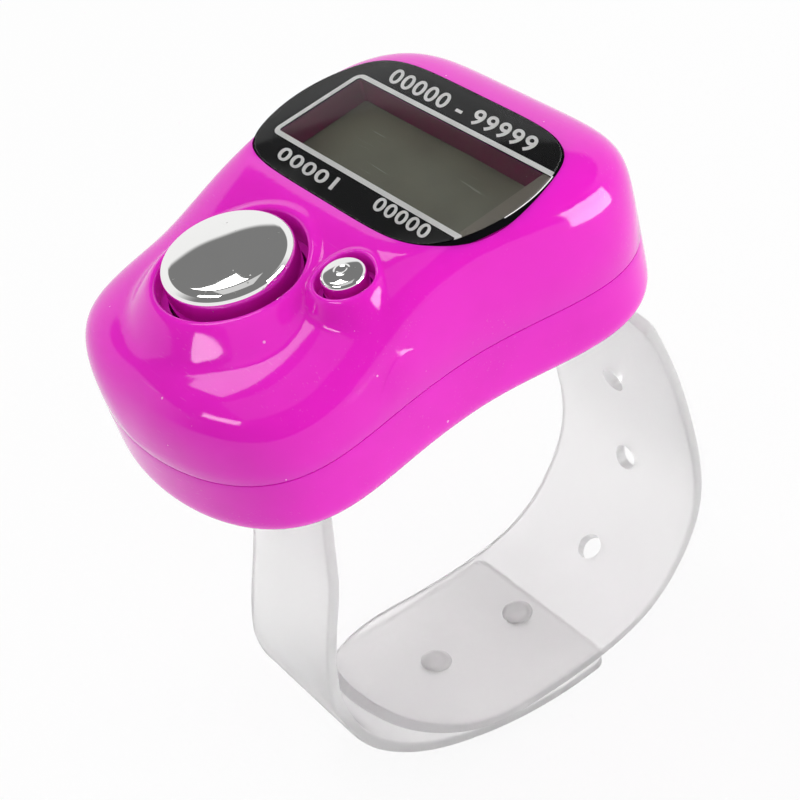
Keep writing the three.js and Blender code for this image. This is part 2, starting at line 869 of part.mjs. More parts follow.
function makeNegativeContact() {
  const footLevel = cellTop + seatGap + contactThickness / 2;
  const line = [
    new THREE.Vector2(-contactFootLength, footLevel + contactLift),
    new THREE.Vector2(0, footLevel),
    new THREE.Vector2(contactFootLength, footLevel),
    new THREE.Vector2(bayRadius - contactPadLength, padLevel),
    new THREE.Vector2(bayRadius, padLevel),
  ];
  return bentStrip(line, contactThickness, contactWidth, cellCentre.y);
}

function makePositiveContact() {
  const blade = -(cellRadius + cellPlay / 2);
  const padEnd = contactLipGap - halfWidthAt(cellCentre.y, wallThickness + fitGap + lipThickness);
  const line = [
    new THREE.Vector2(padEnd, padLevel),
    new THREE.Vector2(blade, padLevel),
    new THREE.Vector2(blade, doorLedgeTop + seatGap),
  ];
  return bentStrip(line, contactThickness, contactWidth, cellCentre.y);
}

// Strap

const loop = new THREE.CatmullRomCurve3(
  [
    ...neckPoints(frontSlotShare),
    ...loopPathShares.map(([y, z]) => new THREE.Vector3(0, y * loopReach, z * loopDrop)),
    ...neckPoints(backSlotShare).reverse(),
  ],
  false,
  "centripetal",
);
loop.arcLengthDivisions = outlineSamples;
const loopLength = loop.getLength();

function neckPoints(share) {
  const y = share * caseLength;
  return [barBase + barHeight / 2, 0, -neckStraight].map((z) => new THREE.Vector3(0, y, z));
}

// A place on the loop: the point, the way along it, and the way out of it.
function loopAt(run) {
  const at = Math.min(1, Math.max(0, run / loopLength));
  const point = loop.getPointAt(at);
  const along = loop.getTangentAt(at);
  return { point, along, out: new THREE.Vector3(0, along.z, -along.y) };
}

// A layer of strap through its stations, with its half width and inner offset given along it.
function strapLayer(stations, halfWidth, innerOffset) {
  const rings = stations.map((run) => {
    const { point, out } = loopAt(run);
    const half = halfWidth(run);
    const inner = innerOffset(run);
    const outer = inner + strapThickness;
    return [
      [half, inner],
      [half, outer],
      [-half, outer],
      [-half, inner],
    ].map(([x, offset]) => point.clone().addScaledVector(out, offset).setX(x));
  });
  return skinned(rings);
}

function stationsBetween(from, to, count) {
  return Array.from({ length: count + 1 }, (_, i) => from + ((to - from) * i) / count);
}

// A round peg or hole across the strap, from one offset to another.
function strapPin(run, radius, from, to, sides) {
  const { point, along, out } = loopAt(run);
  const geometry = new THREE.CylinderGeometry(radius, radius, to - from, sides);
  geometry.translate(0, (from + to) / 2, 0);
  const turn = new THREE.Matrix4().makeBasis(new THREE.Vector3(1, 0, 0), out, along);
  geometry.applyMatrix4(turn.setPosition(point));
  return solidOf(geometry);
}

function strapBar(neck) {
  const size = { x: 2 * barHalfLength, y: barDepth, z: barHeight };
  return block(size, barBase, neck);
}

const studOffset = strapThickness + strapLayerGap;
const tipRun = lastHoleRun - tipBeyondHole;
const bandToNeck = strapHalfWidth - neckHalfWidth;
const lastStudRun = lastHoleRun + (studCount - 1) * holePitch;
const studNeck = { x: 0, y: frontSlotShare * caseLength - strapThickness / 2 };
const holeNeck = { x: 0, y: backSlotShare * caseLength + strapThickness / 2 };

function makeHoleHalf() {
  const shoulder = loopLength - shoulderStart;
  const halfWidth = (run) => {
    const short = 1 - Math.min(1, (run - tipRun) / tipRoundLength);
    const narrowing = smoothStep(shoulder - shoulderLength, shoulder, run);
    return strapHalfWidth * Math.sqrt(1 - short * short) - bandToNeck * narrowing;
  };
  const tipStations = stationsBetween(1, fineSteps, fineSteps - 1).map((i) => {
    const turn = ((Math.PI / 2) * i) / fineSteps;
    return tipRun + tipRoundLength * (1 - Math.cos(turn));
  });
  const stations = [
    ...tipStations,
    ...stationsBetween(tipRun + tipRoundLength, shoulder - shoulderLength, strapStations).slice(1),
    ...stationsBetween(shoulder - shoulderLength, shoulder, fineSteps).slice(1),
    ...stationsBetween(shoulder, loopLength, fineSteps).slice(1),
  ];
  let half = strapLayer(stations, halfWidth, () => 0).add(strapBar(holeNeck));
  for (let i = 0; i < holeCount; i++) {
    const run = lastHoleRun + i * holePitch;
    half = half.subtract(strapPin(run, holeRadius, -overrun, overrun, screwSides));
  }
  return half;
}

function makeStudHalf() {
  const end = lastStudRun + endBeyondStud;
  const lift = (run) => studOffset * smoothStep(tipRun - liftLength, tipRun, run);
  const flareEnd = flareStart + flareLength;
  const halfWidth = (run) => {
    const flare = smoothStep(flareStart, flareEnd, run);
    const short = 1 - Math.min(1, (end - run) / endCornerRadius);
    const corner = endCornerRadius * (1 - Math.sqrt(1 - short * short));
    return neckHalfWidth + bandToNeck * flare - corner;
  };
  const corner = stationsBetween(0, fineSteps, fineSteps).map((i) => {
    const turn = ((Math.PI / 2) * i) / fineSteps;
    return end - endCornerRadius * (1 - Math.sin(turn));
  });
  const stations = [
    ...stationsBetween(0, end - endCornerRadius, strapStations).slice(0, -1),
    ...corner,
  ];
  let half = strapLayer(stations, halfWidth, lift).add(strapBar(studNeck));
  for (let i = 0; i < studCount; i++) {
    const run = lastHoleRun + i * holePitch;
    const headFoot = -seatGap - studHeadHeight;
    const shank = strapPin(run, studRadius, headFoot, studOffset + strapThickness / 2, screwSides);
    half = half.add(shank).add(strapPin(run, studHeadRadius, headFoot, -seatGap, screwSides));
  }
  return half;
}

// Materials

function finish(color, roughness, metalness = 0, opacity = 1) {
  const transparent = opacity < 1;
  return new THREE.MeshStandardMaterial({ color, roughness, metalness, opacity, transparent });
}

const finishes = {
  magentaPlastic: () => finish(0xe22acb, 0.22),
  chrome: () => finish(0xe8e8e8, 0.08, 1),
  clearPlastic: () => finish(0xf2f4f0, 0.04, 0, 0.25),
  blackPrint: () => finish(0x101010, 0.3),
  displayGlass: () => finish(0x6b6b60, 0.15),
  filmGrey: () => finish(0x7d7f74, 0.35),
  zebraRubber: () => finish(0xc9b8b4, 0.8),
  boardGreen: () => finish(0x1f6b3a, 0.45),
  chipBlack: () => finish(0x141414, 0.35),
  ceramic: () => finish(0xb59a6d, 0.5),
  steel: () => finish(0xb9bcc0, 0.3, 1),
  nickel: () => finish(0xc9c6bd, 0.25, 1),
  domeRubber: () => finish(0xd9d9d4, 0.6),
  carbon: () => finish(0x202020, 0.9),
  milkyStrap: () => finish(0xe6e6e6, 0.35, 0, 0.8),
};

// The assembly

const counter = new THREE.Group();

function put(group, name, solid, material) {
  const mesh = new THREE.Mesh(geometryOf(solid), material());
  mesh.name = name;
  group.add(mesh);
}

const caseGroup = new THREE.Group();
const displayGroup = new THREE.Group();
const boardGroup = new THREE.Group();
const batteryGroup = new THREE.Group();
const buttonGroup = new THREE.Group();
const strapGroup = new THREE.Group();
counter.add(caseGroup, displayGroup, boardGroup, batteryGroup, buttonGroup, strapGroup);

put(caseGroup, "top_shell", makeTopShell(), finishes.magentaPlastic);
put(caseGroup, "bottom_shell", makeBottomShell(), finishes.magentaPlastic);
caseScrewPlaces.forEach((place, i) => {
  const screw = makeScrew(place, counterboreDepth - seatGap, caseScrewLength);
  put(caseGroup, `case_screw_${i + 1}`, screw, finishes.steel);
});

put(displayGroup, "display_lens", makeLens(), finishes.clearPlastic);
put(displayGroup, "display_mask", makeMask(), finishes.blackPrint);
put(displayGroup, "lcd_glass", makeGlass(), finishes.displayGlass);
const frontFilm = makeFilm(glassHalfHeight, glassTop + seatGap);
const rearFilmBase = glassSeat - glassThickness - seatGap - filmThickness;
const rearFilm = makeFilm(glassHalfHeight - glassShelf, rearFilmBase);
put(displayGroup, "lcd_front_polariser", frontFilm, finishes.filmGrey);
put(displayGroup, "lcd_rear_reflector", rearFilm, finishes.filmGrey);
put(displayGroup, "zebra_strip_front", makeZebraStrip(-1), finishes.zebraRubber);
put(displayGroup, "zebra_strip_back", makeZebraStrip(1), finishes.zebraRubber);

put(boardGroup, "circuit_board", makeBoard(), finishes.boardGreen);
put(boardGroup, "chip_cover", makeChipCover(), finishes.chipBlack);
put(boardGroup, "capacitor", makeSmallPart(capacitorSize, -1), finishes.ceramic);
put(boardGroup, "resistor", makeSmallPart(resistorSize, 1), finishes.chipBlack);
boardScrewPlaces.forEach((place, i) => {
  const screw = makeScrew(place, boardUnderside - seatGap, shortScrewLength);
  put(boardGroup, `board_screw_${i + 1}`, screw, finishes.steel);
});

put(batteryGroup, "button_cell", makeCell(), finishes.nickel);
put(batteryGroup, "battery_contact_positive", makePositiveContact(), finishes.nickel);
put(batteryGroup, "battery_contact_negative", makeNegativeContact(), finishes.nickel);
put(batteryGroup, "battery_door", makeBatteryDoor(), finishes.magentaPlastic);
const doorScrew = makeScrew(doorScrewCentre, headHeight - seatGap / 2, shortScrewLength);
put(batteryGroup, "battery_door_screw", doorScrew, finishes.steel);

put(buttonGroup, "count_button", makeButton(countButton), finishes.chrome);
put(buttonGroup, "count_dome", makeDome(countButton), finishes.domeRubber);
put(buttonGroup, "count_pill", makePill(countButton), finishes.carbon);
put(buttonGroup, "reset_button", makeButton(resetButton), finishes.chrome);
put(buttonGroup, "reset_dome", makeDome(resetButton), finishes.domeRubber);
put(buttonGroup, "reset_pill", makePill(resetButton), finishes.carbon);

put(strapGroup, "strap_stud_half", makeStudHalf(), finishes.milkyStrap);
put(strapGroup, "strap_hole_half", makeHoleHalf(), finishes.milkyStrap);

export default counter;
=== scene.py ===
"""The looks of a digital tally counter that is worn on a finger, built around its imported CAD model.

Laid out as a Blender add-on: sizes and finishes are properties, each piece is an operator, and
main() runs them in order. Everything is in metres, in the frame of the CAD model: +Z is up through
the display, +Y runs from the count button to the display.
"""

import math

import bmesh
import bpy
import numpy as np
from bpy.props import FloatProperty, FloatVectorProperty, IntProperty, PointerProperty
from mathutils import Matrix, Vector
from mathutils.geometry import delaunay_2d_cdt


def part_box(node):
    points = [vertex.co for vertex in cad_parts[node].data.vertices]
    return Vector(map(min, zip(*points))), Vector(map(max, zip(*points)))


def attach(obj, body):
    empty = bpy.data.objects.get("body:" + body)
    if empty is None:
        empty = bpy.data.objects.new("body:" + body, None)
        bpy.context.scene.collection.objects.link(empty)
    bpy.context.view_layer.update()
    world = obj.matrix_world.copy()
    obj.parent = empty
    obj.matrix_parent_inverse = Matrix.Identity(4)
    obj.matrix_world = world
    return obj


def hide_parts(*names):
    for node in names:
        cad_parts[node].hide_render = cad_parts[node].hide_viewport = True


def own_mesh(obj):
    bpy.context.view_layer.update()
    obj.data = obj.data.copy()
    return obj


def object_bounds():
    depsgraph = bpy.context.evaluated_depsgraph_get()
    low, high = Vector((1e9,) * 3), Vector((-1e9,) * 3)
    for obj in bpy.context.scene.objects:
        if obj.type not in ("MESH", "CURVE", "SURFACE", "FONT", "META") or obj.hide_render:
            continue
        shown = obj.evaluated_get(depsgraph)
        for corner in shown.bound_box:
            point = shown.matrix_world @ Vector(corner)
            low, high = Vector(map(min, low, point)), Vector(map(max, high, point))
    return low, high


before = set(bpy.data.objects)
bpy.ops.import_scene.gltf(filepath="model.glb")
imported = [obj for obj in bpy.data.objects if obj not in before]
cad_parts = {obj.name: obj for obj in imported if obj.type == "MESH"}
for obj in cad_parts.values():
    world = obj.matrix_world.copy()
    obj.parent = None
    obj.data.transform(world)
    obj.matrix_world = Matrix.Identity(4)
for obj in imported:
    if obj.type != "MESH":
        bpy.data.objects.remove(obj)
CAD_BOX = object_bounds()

bl_info = {
    "name": "Finger tally counter",
    "version": (1, 0, 0),
    "blender": (4, 5, 0),
    "location": "3D View > Sidebar > Counter",
    "description": "Builds a finger tally counter around its packed CAD model",
    "category": "Object",
}

MM = 0.001


def length(name, description, default_mm):
    """A size in metres, written here in millimetres."""
    return FloatProperty(
        name=name, description=description, default=default_mm * MM, precision=5,
        unit="LENGTH", subtype="DISTANCE",
    )


def share(name, description, default):
    return FloatProperty(name=name, description=description, default=default)


def colour(name, description, default):
    return FloatVectorProperty(
        name=name, description=description, default=default, size=3, min=0, max=1,
        subtype="COLOR",
    )


def count(name, description, default):
    return IntProperty(name=name, description=description, default=default, min=3)


# Sizes

class CaseSizes(bpy.types.PropertyGroup):
    """The case's outline and heights, which the mouldings share."""

    length: length("Length", "Length of the case, a hair inside the CAD's", 38.97)
    half_width: length("Half width", "Unit of the width shares, a hair inside the CAD's", 13.9)
    seam_height: length("Seam height", "Seam above the underside", 5.4)
    crown_height: length("Crown height", "Height of the roof above the seam", 9.75)
    wall: length("Wall", "Thickness of the sides", 1.4)
    floor: length("Floor", "Thickness of the underside", 1.2)
    seam_round: length("Seam rounding", "Rounding of both shells where they meet", 0.1)
    roof_share: share("Roof share", "Height of the inside of the roof over its outside", 0.94)
    outline_points: count("Outline points", "Points round the case's outline", 264)


class CountButtonSizes(bpy.types.PropertyGroup):
    """The large count button and its well."""

    centre_x: length("Place across", "Centre of the button across the case", 0)
    centre_y: length("Place along", "Centre of the button along the case", -8.2485)
    radius: length("Radius", "Radius of the chromed top", 4.82)
    edge_round: length("Edge rounding", "Rounding of the top's edge", 0.95)
    top_rise: length("Top rise", "Doming of the top", 0.32)
    well_gap: length("Well gap", "Gap round the button", 0.68)
    proud: length("Stands proud", "Height of the top above the collar", 1.53)
    collar_rise: length("Collar rise", "Collar above the roof at the button's centre", 0.95)
    collar_land: length("Collar land", "Width of the collar's rim", 0.5)
    collar_width: length("Collar width", "Width from the well to the collar's foot", 2.1)
    collar_slope: share("Collar slope", "Fall of the flank over its width", 1.0)
    collar_bend: length("Collar bend", "Rounding between the rim and the flank", 0.35)
    collar_step: length("Collar step", "Least height of the rim above the roof behind it", 0.22)
    fillet: length("Fillet", "Blend between the collar and the roof", 0.4)
    flange: length("Flange", "How far the flange reaches under the shell", 0.35)
    skirt: length("Skirt", "Thickness of the guide skirt", 0.3)
    well_depth: length("Well depth", "Depth of the open part of the well", 1.5)
    guide_gap: length("Guide gap", "Gap round the button below that", 0.15)
    stem: length("Stem radius", "Radius of the stem", 1.8)
    dome: length("Dome radius", "Radius of the rubber dome", 3.6)
    dome_top: length("Dome top radius", "Radius of the dome's flat top", 2.2)
    travel: length("Travel", "How far the button goes down", 0.85)
    mark_radius: length("Mark radius", "Radius of the ring moulded on the top, or none", 0)


class ResetButtonSizes(bpy.types.PropertyGroup):
    """The small reset button and its well."""

    centre_x: length("Place across", "Centre of the button across the case", 8.00156)
    centre_y: length("Place along", "Centre of the button along the case", -4.29)
    radius: length("Radius", "Radius of the chromed top", 1.6)
    edge_round: length("Edge rounding", "Rounding of the top's edge", 0.4)
    top_rise: length("Top rise", "Doming of the top", 0.1)
    well_gap: length("Well gap", "Gap round the button", 0.5)
    proud: length("Stands proud", "Height of the top above the collar", 0.6)
    collar_rise: length("Collar rise", "Collar above the roof at the button's centre", 0.35)
    collar_land: length("Collar land", "Width of the collar's rim", 0.3)
    collar_width: length("Collar width", "Width from the well to the collar's foot", 1.6)
    collar_slope: share("Collar slope", "Fall of the flank over its width", 2.5)
    collar_bend: length("Collar bend", "Rounding between the rim and the flank", 0.3)
    collar_step: length("Collar step", "Least height of the rim above the roof behind it", 0.12)
    fillet: length("Fillet", "Blend between the collar and the roof", 0.45)
    flange: length("Flange", "How far the flange reaches under the shell", 0.3)
    skirt: length("Skirt", "Thickness of the guide skirt", 0.25)
    well_depth: length("Well depth", "Depth of the open part of the well", 1.1)
    guide_gap: length("Guide gap", "Gap round the button below that", 0.15)
    stem: length("Stem radius", "Radius of the stem", 0.9)
    dome: length("Dome radius", "Radius of the rubber dome", 2)
    dome_top: length("Dome top radius", "Radius of the dome's flat top", 1.3)
    travel: length("Travel", "How far the button goes down", 0.6)
    mark_radius: length("Mark radius", "Radius of the ring moulded on the top, or none", 0.42)


class DisplaySizes(bpy.types.PropertyGroup):
    """The flat display panel: lens, print, window and glass."""

    centre_y: length("Place along", "Centre of the panel along the case", 7.12)
    level: length("Level", "Top of the lens above the seam", 8.82)
    half_length: length("Half length", "Half the panel's length at its middle", 12.62)
    corner_half_length: length("Corner half length", "Half length at the corners", 10.05)
    half_height: length("Half height", "Half the panel's height", 7.34)
    gap: length("Gap", "Gap round the panel", 0.04)
    rebate: length("Rebate", "How far the lens lies under the rim of its seat", 0.06)
    seat_slope: share("Seat slope", "Rise of the roof away from the panel", 0.2)
    seat_blend: length("Seat blend", "Blend between the seat and the roof", 0.35)
    lens: length("Lens thickness", "Thickness of the lens", 0.55)
    black_rim: length("Black rim", "Thickness of the print round the lens's edge", 0.07)
    window_left: length("Window left", "From the panel's middle to the window's left end", 10.35)
    window_right: length("Window right", "From the panel's middle to the shell's opening", 10.85)
    print_edge: length("Print edge", "Print left at the lens's right edge", 0.3)
    window_half_height: length("Window half height", "Half the window's height", 3.85)
    window_y: length("Window place", "Centre of the window along the case", 7.2)
    line_width: length("Line width", "Width of the silver line round the window", 0.45)
    window_round: length("Window rounding", "Corner radius of the window", 0.3)
    ledge: length("Ledge", "Thickness of the print and the ledge under it", 0.3)
    glass_level: length("Glass level", "Top of the display glass above the seam", 6.05)
    title_height: length("Title height", "Height of the upper row of digits", 1.60)
    label_height: length("Label height", "Height of the labels by the buttons", 1.25)
    lean: share("Lean", "How far the digits lean back over their height", 0.38)
    outline_points: count("Outline points", "Points round the panel", 176)


class StrapSizes(bpy.types.PropertyGroup):
    """The two strap halves on their common loop."""

    thickness: length("Thickness", "Thickness of the strap", 0.985)
    layer_gap: length("Layer gap", "Gap between the two layers", 0.15)
    half_width: length("Half width", "Half the width of the band", 8.5)
    neck_half_width: length("Neck half width", "Half the width of the necks", 5.3)
    loop_reach: length("Loop reach", "How far back the loop reaches", 20.5)
    loop_drop: length("Loop drop", "How far below the case the loop reaches", 35.8)
    edge_round: length("Edge rounding", "Rounding of the band's edges", 0.22)
    last_hole: length("Last hole", "Way along the loop to the last hole", 42.6)
    pitch: length("Pitch", "Spacing of the holes", 9.2)
    hole_radius: length("Hole radius", "Radius of a hole", 1.15)
    stud_radius: length("Stud radius", "Radius of a stud's shank", 0.85)
    stud_head: length("Stud head radius", "Radius of a stud's head", 1.35)
    stud_height: length("Stud head height", "Height of a stud's head", 0.45)
    tip_beyond: length("Tip beyond hole", "From the last hole to the tip", 9.4)
    tip_round: length("Tip rounding", "Length of the rounded tip", 11.5)
    end_beyond: length("End beyond stud", "From the last stud to the end", 2.6)
    end_round: length("End rounding", "Corner radius of the square end", 1.1)
    lift: length("Lift", "Length over which the outer layer lifts off the loop", 10)
    shoulder_start: length("Shoulder start", "From the loop's end to the shoulder", 9.2)
    shoulder: length("Shoulder", "Length of the shoulder", 2)
    flare_start: length("Flare start", "Way along the loop to the flare", 19)
    flare: length("Flare", "Length of the flare", 32)
    front_slot: length("Front slot", "Place of the front slot along the case", -9.048)
    back_slot: length("Back slot", "Place of the back slot along the case", 14.625)
    holes: count("Holes", "Number of holes", 5)


class Finishes(bpy.types.PropertyGroup):
    """The colours of the counter's materials."""

    plastic: colour("Plastic", "Glossy magenta of the case", (0.80, 0.012, 0.57))
    plastic_deep: colour("Deep plastic", "The same plastic where it is thick", (0.74, 0.010, 0.52))
    chrome: colour("Chrome", "Chrome plating", (0.86, 0.86, 0.85))
    lens: colour("Lens", "Clear lens", (0.97, 0.98, 0.96))
    black_print: colour("Black print", "Print under the lens", (0.004, 0.004, 0.005))
    # This colour also paints the highlight strip along the lens's right edge
    silver_print: colour("Silver print", "Line and digits", (0.93, 0.91, 0.93))
    glass: colour("Display glass", "Grey display glass", (0.175, 0.172, 0.132))
    strap: colour("Strap", "Milky strap", (0.99, 0.99, 0.985))
    floor: colour("Floor", "Floor and backdrop", (0.9, 0.9, 0.9))


SIZES = {
    "counter_case": CaseSizes,
    "counter_count_button": CountButtonSizes,
    "counter_reset_button": ResetButtonSizes,
    "counter_display": DisplaySizes,
    "counter_strap": StrapSizes,
    "counter_finishes": Finishes,
}


def sizes(name):
    return getattr(bpy.context.scene, "counter_" + name)


# Shares of the case's outline and roof, at stations along it, and how its ends and sides round off

STATIONS = (-0.85, -0.45, -0.1, 0.35, 0.85)
WIDTH_SHARES = (1.35, 1.02, 0.893, 0.984, 1.02)
CROWN_SHARES = (1.061, 0.807, 0.929, 1.013, 1.157)
PLAN_POWERS = (2.02, 5.2)
CROWN_POWERS = (2.25, 2.8)
SECTION_POWERS = (3.6, 6.0)
SECTION_BLEND = (-0.23, 0.05)
UNDERSIDE_SHARE = 0.9
UNDERSIDE_POWER = 10.3
PANEL_CORNER_POWERS = (9, 5)
SEAT_POWER = 5
LOOP_SHARES = (
    (-0.546, -0.335), (-0.707, -0.654), (-0.507, -0.862), (0.049, -0.985),
    (0.649, -0.989), (0.966, -0.818), (1.0, -0.489), (0.859, -0.14),
)

# Past this share of its rim's width a collar's flank begins, and past this many of its own widths
# it drops away under the roof at this slope
RIM_SHARE = 0.6
FLANK_WIDTHS = 2.2
FLANK_DROP = 4

# Shares of the case's outline at which rings of faces climb its sides
SIDE_SHARES = (1.0, 0.9997, 0.9985, 0.996, 0.992, 0.986, 0.978, 0.968)

# Points round each well, and the rings of points that carry the roof's shape: distances out from a
# well, then distances out from the panel with the least spacing of their points, in millimetres
WELL_POINTS = {"count_button": 112, "reset_button": 64}
WELL_RINGS = (0.03, 0.08, 0.14, 0.2, 0.27, 0.36, 0.48, 0.62, 0.78, 0.96, 1.16, 1.38, 1.62, 1.88,
              2.14, 2.42)
PANEL_RINGS = ((0.04, 0.03), (0.1, 0.04), (0.18, 0.05), (0.3, 0.08), (0.46, 0.11), (0.66, 0.14))
ROOF_RINGS = 50
INNER_RINGS = 20
CORNER_POINTS = 10
PRINT_END_POINTS = 24

# Levels that come from the frame, and levels of the buttons' guides above the reset stem's foot
DOME_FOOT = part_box("count_dome")[0].z
DOME_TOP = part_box("count_dome")[1].z
STEM_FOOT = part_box("reset_button")[0].z
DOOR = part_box("battery_door")
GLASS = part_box("lcd_glass")
FLOOR_LEVEL = CAD_BOX[0][2]
FLANGE_TOP = STEM_FOOT + 0.935 * MM
FLANGE_THICKNESS = 0.8 * MM
SKIRT_FOOT = STEM_FOOT + 1.0 * MM

# The display's thin layers, as depths below the lens, and the thickness of the silver ink
PRINT_FACE = 0.03 * MM
PRINT_BACK = 0.15 * MM
# Top of the sheet that paints shade on the window's walls
WALL_SHADE_TOP = 0.17 * MM
INK = 0.02 * MM

# Screws: the bores and sleeves of the case, and the seat and bore in the battery door
BORE_RADIUS = 1.45 * MM
BORE_DEPTH = 1.6 * MM
SLEEVE_RADIUS = 1.85 * MM
SLEEVE_TOP = 2.4 * MM
HEAD_HEIGHT = 0.6 * MM
DOOR_BORE_RADIUS = 0.8 * MM

# The bar at each end of the strap, inside the case
BAR_SIZE = (12.4 * MM, 2.2 * MM, 1.8 * MM)
BAR_LEVEL = 2.2 * MM

# Printed digits: text, piece, middle across and along the case, width in millimetres, and the
# property that holds the height
DIGIT_ROWS = (
    ("00000 - 99999", "range_digits", -0.23, 12.72, 16.36, "title_height"),
    ("00001", "count_digits", -4.49, 1.74, 6.99, "label_height"),
    ("00000", "reset_digits", 6.08, 2.16, 5.93, "label_height"),
)


# Curves and outlines. Each works on numbers and on numpy arrays alike.

def smooth_step(low, high, value):
    t = np.clip((value - low) / (high - low), 0, 1)
    return t * t * (3 - 2 * t)


def smooth_max(a, b, width):
    """The greater of two heights, with a fillet where they meet."""
    t = np.clip(0.5 + 0.5 * (a - b) / width, 0, 1)
    return b + (a - b) * t + width * t * (1 - t)


def through_stations(shares, at):
    total = 0
    for i, value in enumerate(shares):
        term = value
        for j, station in enumerate(STATIONS):
            if j != i:
                term = term * (at - station) / (STATIONS[i] - station)
        total = total + term
    return total


def rounded_end(powers, at):
    power = np.where(at < 0, powers[0], powers[1])
    return (1 - np.minimum(1, np.abs(at)) ** power) ** (1 / power)


def half_width(y, inset=0.0):
    case = sizes("case")
    width = case.half_width * through_stations(WIDTH_SHARES, 2 * y / case.length) - inset
    return width * rounded_end(PLAN_POWERS, y / (case.length / 2 - inset))


def crown(x, y, inset=0.0):
    """Height of the roof above the seam, set in by a wall."""
    case = sizes("case")
    ridge = case.crown_height * through_stations(CROWN_SHARES, 2 * y / case.length) - inset
    blend = smooth_step(*SECTION_BLEND, y / case.length)
    power = SECTION_POWERS[0] + (SECTION_POWERS[1] - SECTION_POWERS[0]) * blend
    across = np.minimum(1, np.abs(x) / np.maximum(half_width(y, inset), 1e-9))
    fall = (1 - across ** power) ** (1 / power)
    return ridge * fall * rounded_end(CROWN_POWERS, y / (case.length / 2 - inset))


def collar_top(button):
    return crown(button.centre_x, button.centre_y) + button.collar_rise


def collar(x, y, button, roof):
    """Height of a button's collar above the seam: a rounded rim and a flank that flares out."""
    away = np.hypot(x - button.centre_x, y - button.centre_y)
    well = button.radius + button.well_gap
    rim = smooth_max(collar_top(button), roof + button.collar_step, button.collar_land)
    land = button.collar_land
    lip = land / 2
    inward = np.clip(well + lip - away, 0, lip)
    rim = rim - (lip - np.sqrt(lip * lip - inward * inward))
    out = np.maximum(0, away - well - land * RIM_SHARE)
    beyond = np.maximum(0, out - FLANK_WIDTHS * button.collar_width)
    flank = button.collar_slope * (np.hypot(out, button.collar_bend) - button.collar_bend)
    return rim - flank - FLANK_DROP * beyond


def seat(x, y):
    """Height of the shallow dish in which the flat panel lies, rising away from its edge."""
    panel = sizes("display")
    across = np.abs(x) / panel.half_length
    along = np.abs(y - panel.centre_y) / panel.half_height
    away = (across ** SEAT_POWER + along ** SEAT_POWER) ** (1 / SEAT_POWER) - 1
    return panel.level + panel.rebate + panel.seat_slope * panel.half_height * np.maximum(0, away)


def shell_roof(x, y):
    """Height of the roof without its collars, above the seam."""
    return -smooth_max(-crown(x, y), -seat(x, y), sizes("display").seat_blend)


def roof(x, y):
    """Height of the outer roof with both collars, above the seam."""
    plain = shell_roof(x, y)
    height = plain
    for name in ("count_button", "reset_button"):
        button = sizes(name)
        height = smooth_max(height, collar(x, y, button, plain), button.fillet)
    return height


def evenly(points, number):
    """Evenly spaced points round a closed loop of finely sampled ones."""
    closed = np.vstack([points, points[:1]])
    steps = np.hypot(*np.diff(closed, axis=0).T)
    run = np.concatenate([[0], np.cumsum(steps)])
    want = np.arange(number) / number * run[-1]
    return np.stack([np.interp(want, run, closed[:, i]) for i in (0, 1)], 1)


def mirrored_loop(reach, centre_y, width_at, number):
    turn = np.linspace(0, 2 * math.pi, 6000, endpoint=False)
    y = reach * np.sin(turn)
    side = np.where(np.cos(turn) < 0, -1, 1)
    return evenly(np.stack([side * width_at(y), centre_y + y], 1), number)


def case_outline(inset=0.0):
    case = sizes("case")
    reach = case.length / 2 - inset
    return mirrored_loop(reach, 0, lambda y: half_width(y, inset), case.outline_points)


def panel_half_width(y, growth=0.0):
    """Half the panel's width, at a distance along the case from its middle."""
    panel = sizes("display")
    part = np.minimum(1, np.abs(y) / (panel.half_height + growth))
    bow = (panel.half_length - panel.corner_half_length) * part * part
    corner = np.maximum(0, 1 - part ** PANEL_CORNER_POWERS[0])
    return (panel.half_length + growth - bow) * corner ** (1 / PANEL_CORNER_POWERS[1])


def panel_outline(growth=0.0):
    panel = sizes("display")
    return mirrored_loop(panel.half_height + growth, panel.centre_y,
                         lambda y: panel_half_width(y, growth), panel.outline_points)


def circle(centre, radius, number):
    turn = np.linspace(0, 2 * math.pi, number, endpoint=False)
    return np.stack([centre[0] + radius * np.cos(turn), centre[1] + radius * np.sin(turn)], 1)


def rounded_box(low, high, radius, per_corner=CORNER_POINTS):
    """A counter-clockwise rectangle with round corners, between two corner points."""
    corners = ((high[0], low[1], -90), (high[0], high[1], 0), (low[0], high[1], 90),
               (low[0], low[1], 180))
    points = []
    for x, y, start in corners:
        cx = x - math.copysign(radius, x - (low[0] + high[0]) / 2)
        cy = y - math.copysign(radius, y - (low[1] + high[1]) / 2)
        for i in range(per_corner):
            turn = math.radians(start + 90 * i / (per_corner - 1))
            points.append((cx + radius * math.cos(turn), cy + radius * math.sin(turn)))
    return np.array(points)


def window_outline(growth=0.0):
    """The window's opening in the shell."""
    panel = sizes("display")
    y = panel.window_half_height + growth
    low = (-panel.window_left - growth, panel.window_y - y)
    high = (panel.window_right + growth, panel.window_y + y)
    return rounded_box(low, high, panel.window_round + max(0, growth))


def print_end(growth, inset):
    """Points up the right end of the print's opening, at a distance in from the lens's edge."""
    panel = sizes("display")
    half_height = panel.window_half_height + growth
    up = np.linspace(-1, 1, PRINT_END_POINTS) * half_height + panel.window_y
    return np.stack([panel_half_width(up - panel.centre_y, -inset), up], 1)


def print_opening(growth=0.0):
    """The opening in the print, which is set so far right that it runs out to the lens's edge."""
    # Wider openings reach less far towards the lens's edge than they grow, so the silver line ends
    # there in a thin strip: a painted highlight
    right = print_end(growth, sizes("display").print_edge - 0.3 * growth)
    left_corners = window_outline(growth)[2 * CORNER_POINTS:]
    return np.vstack([right, left_corners])


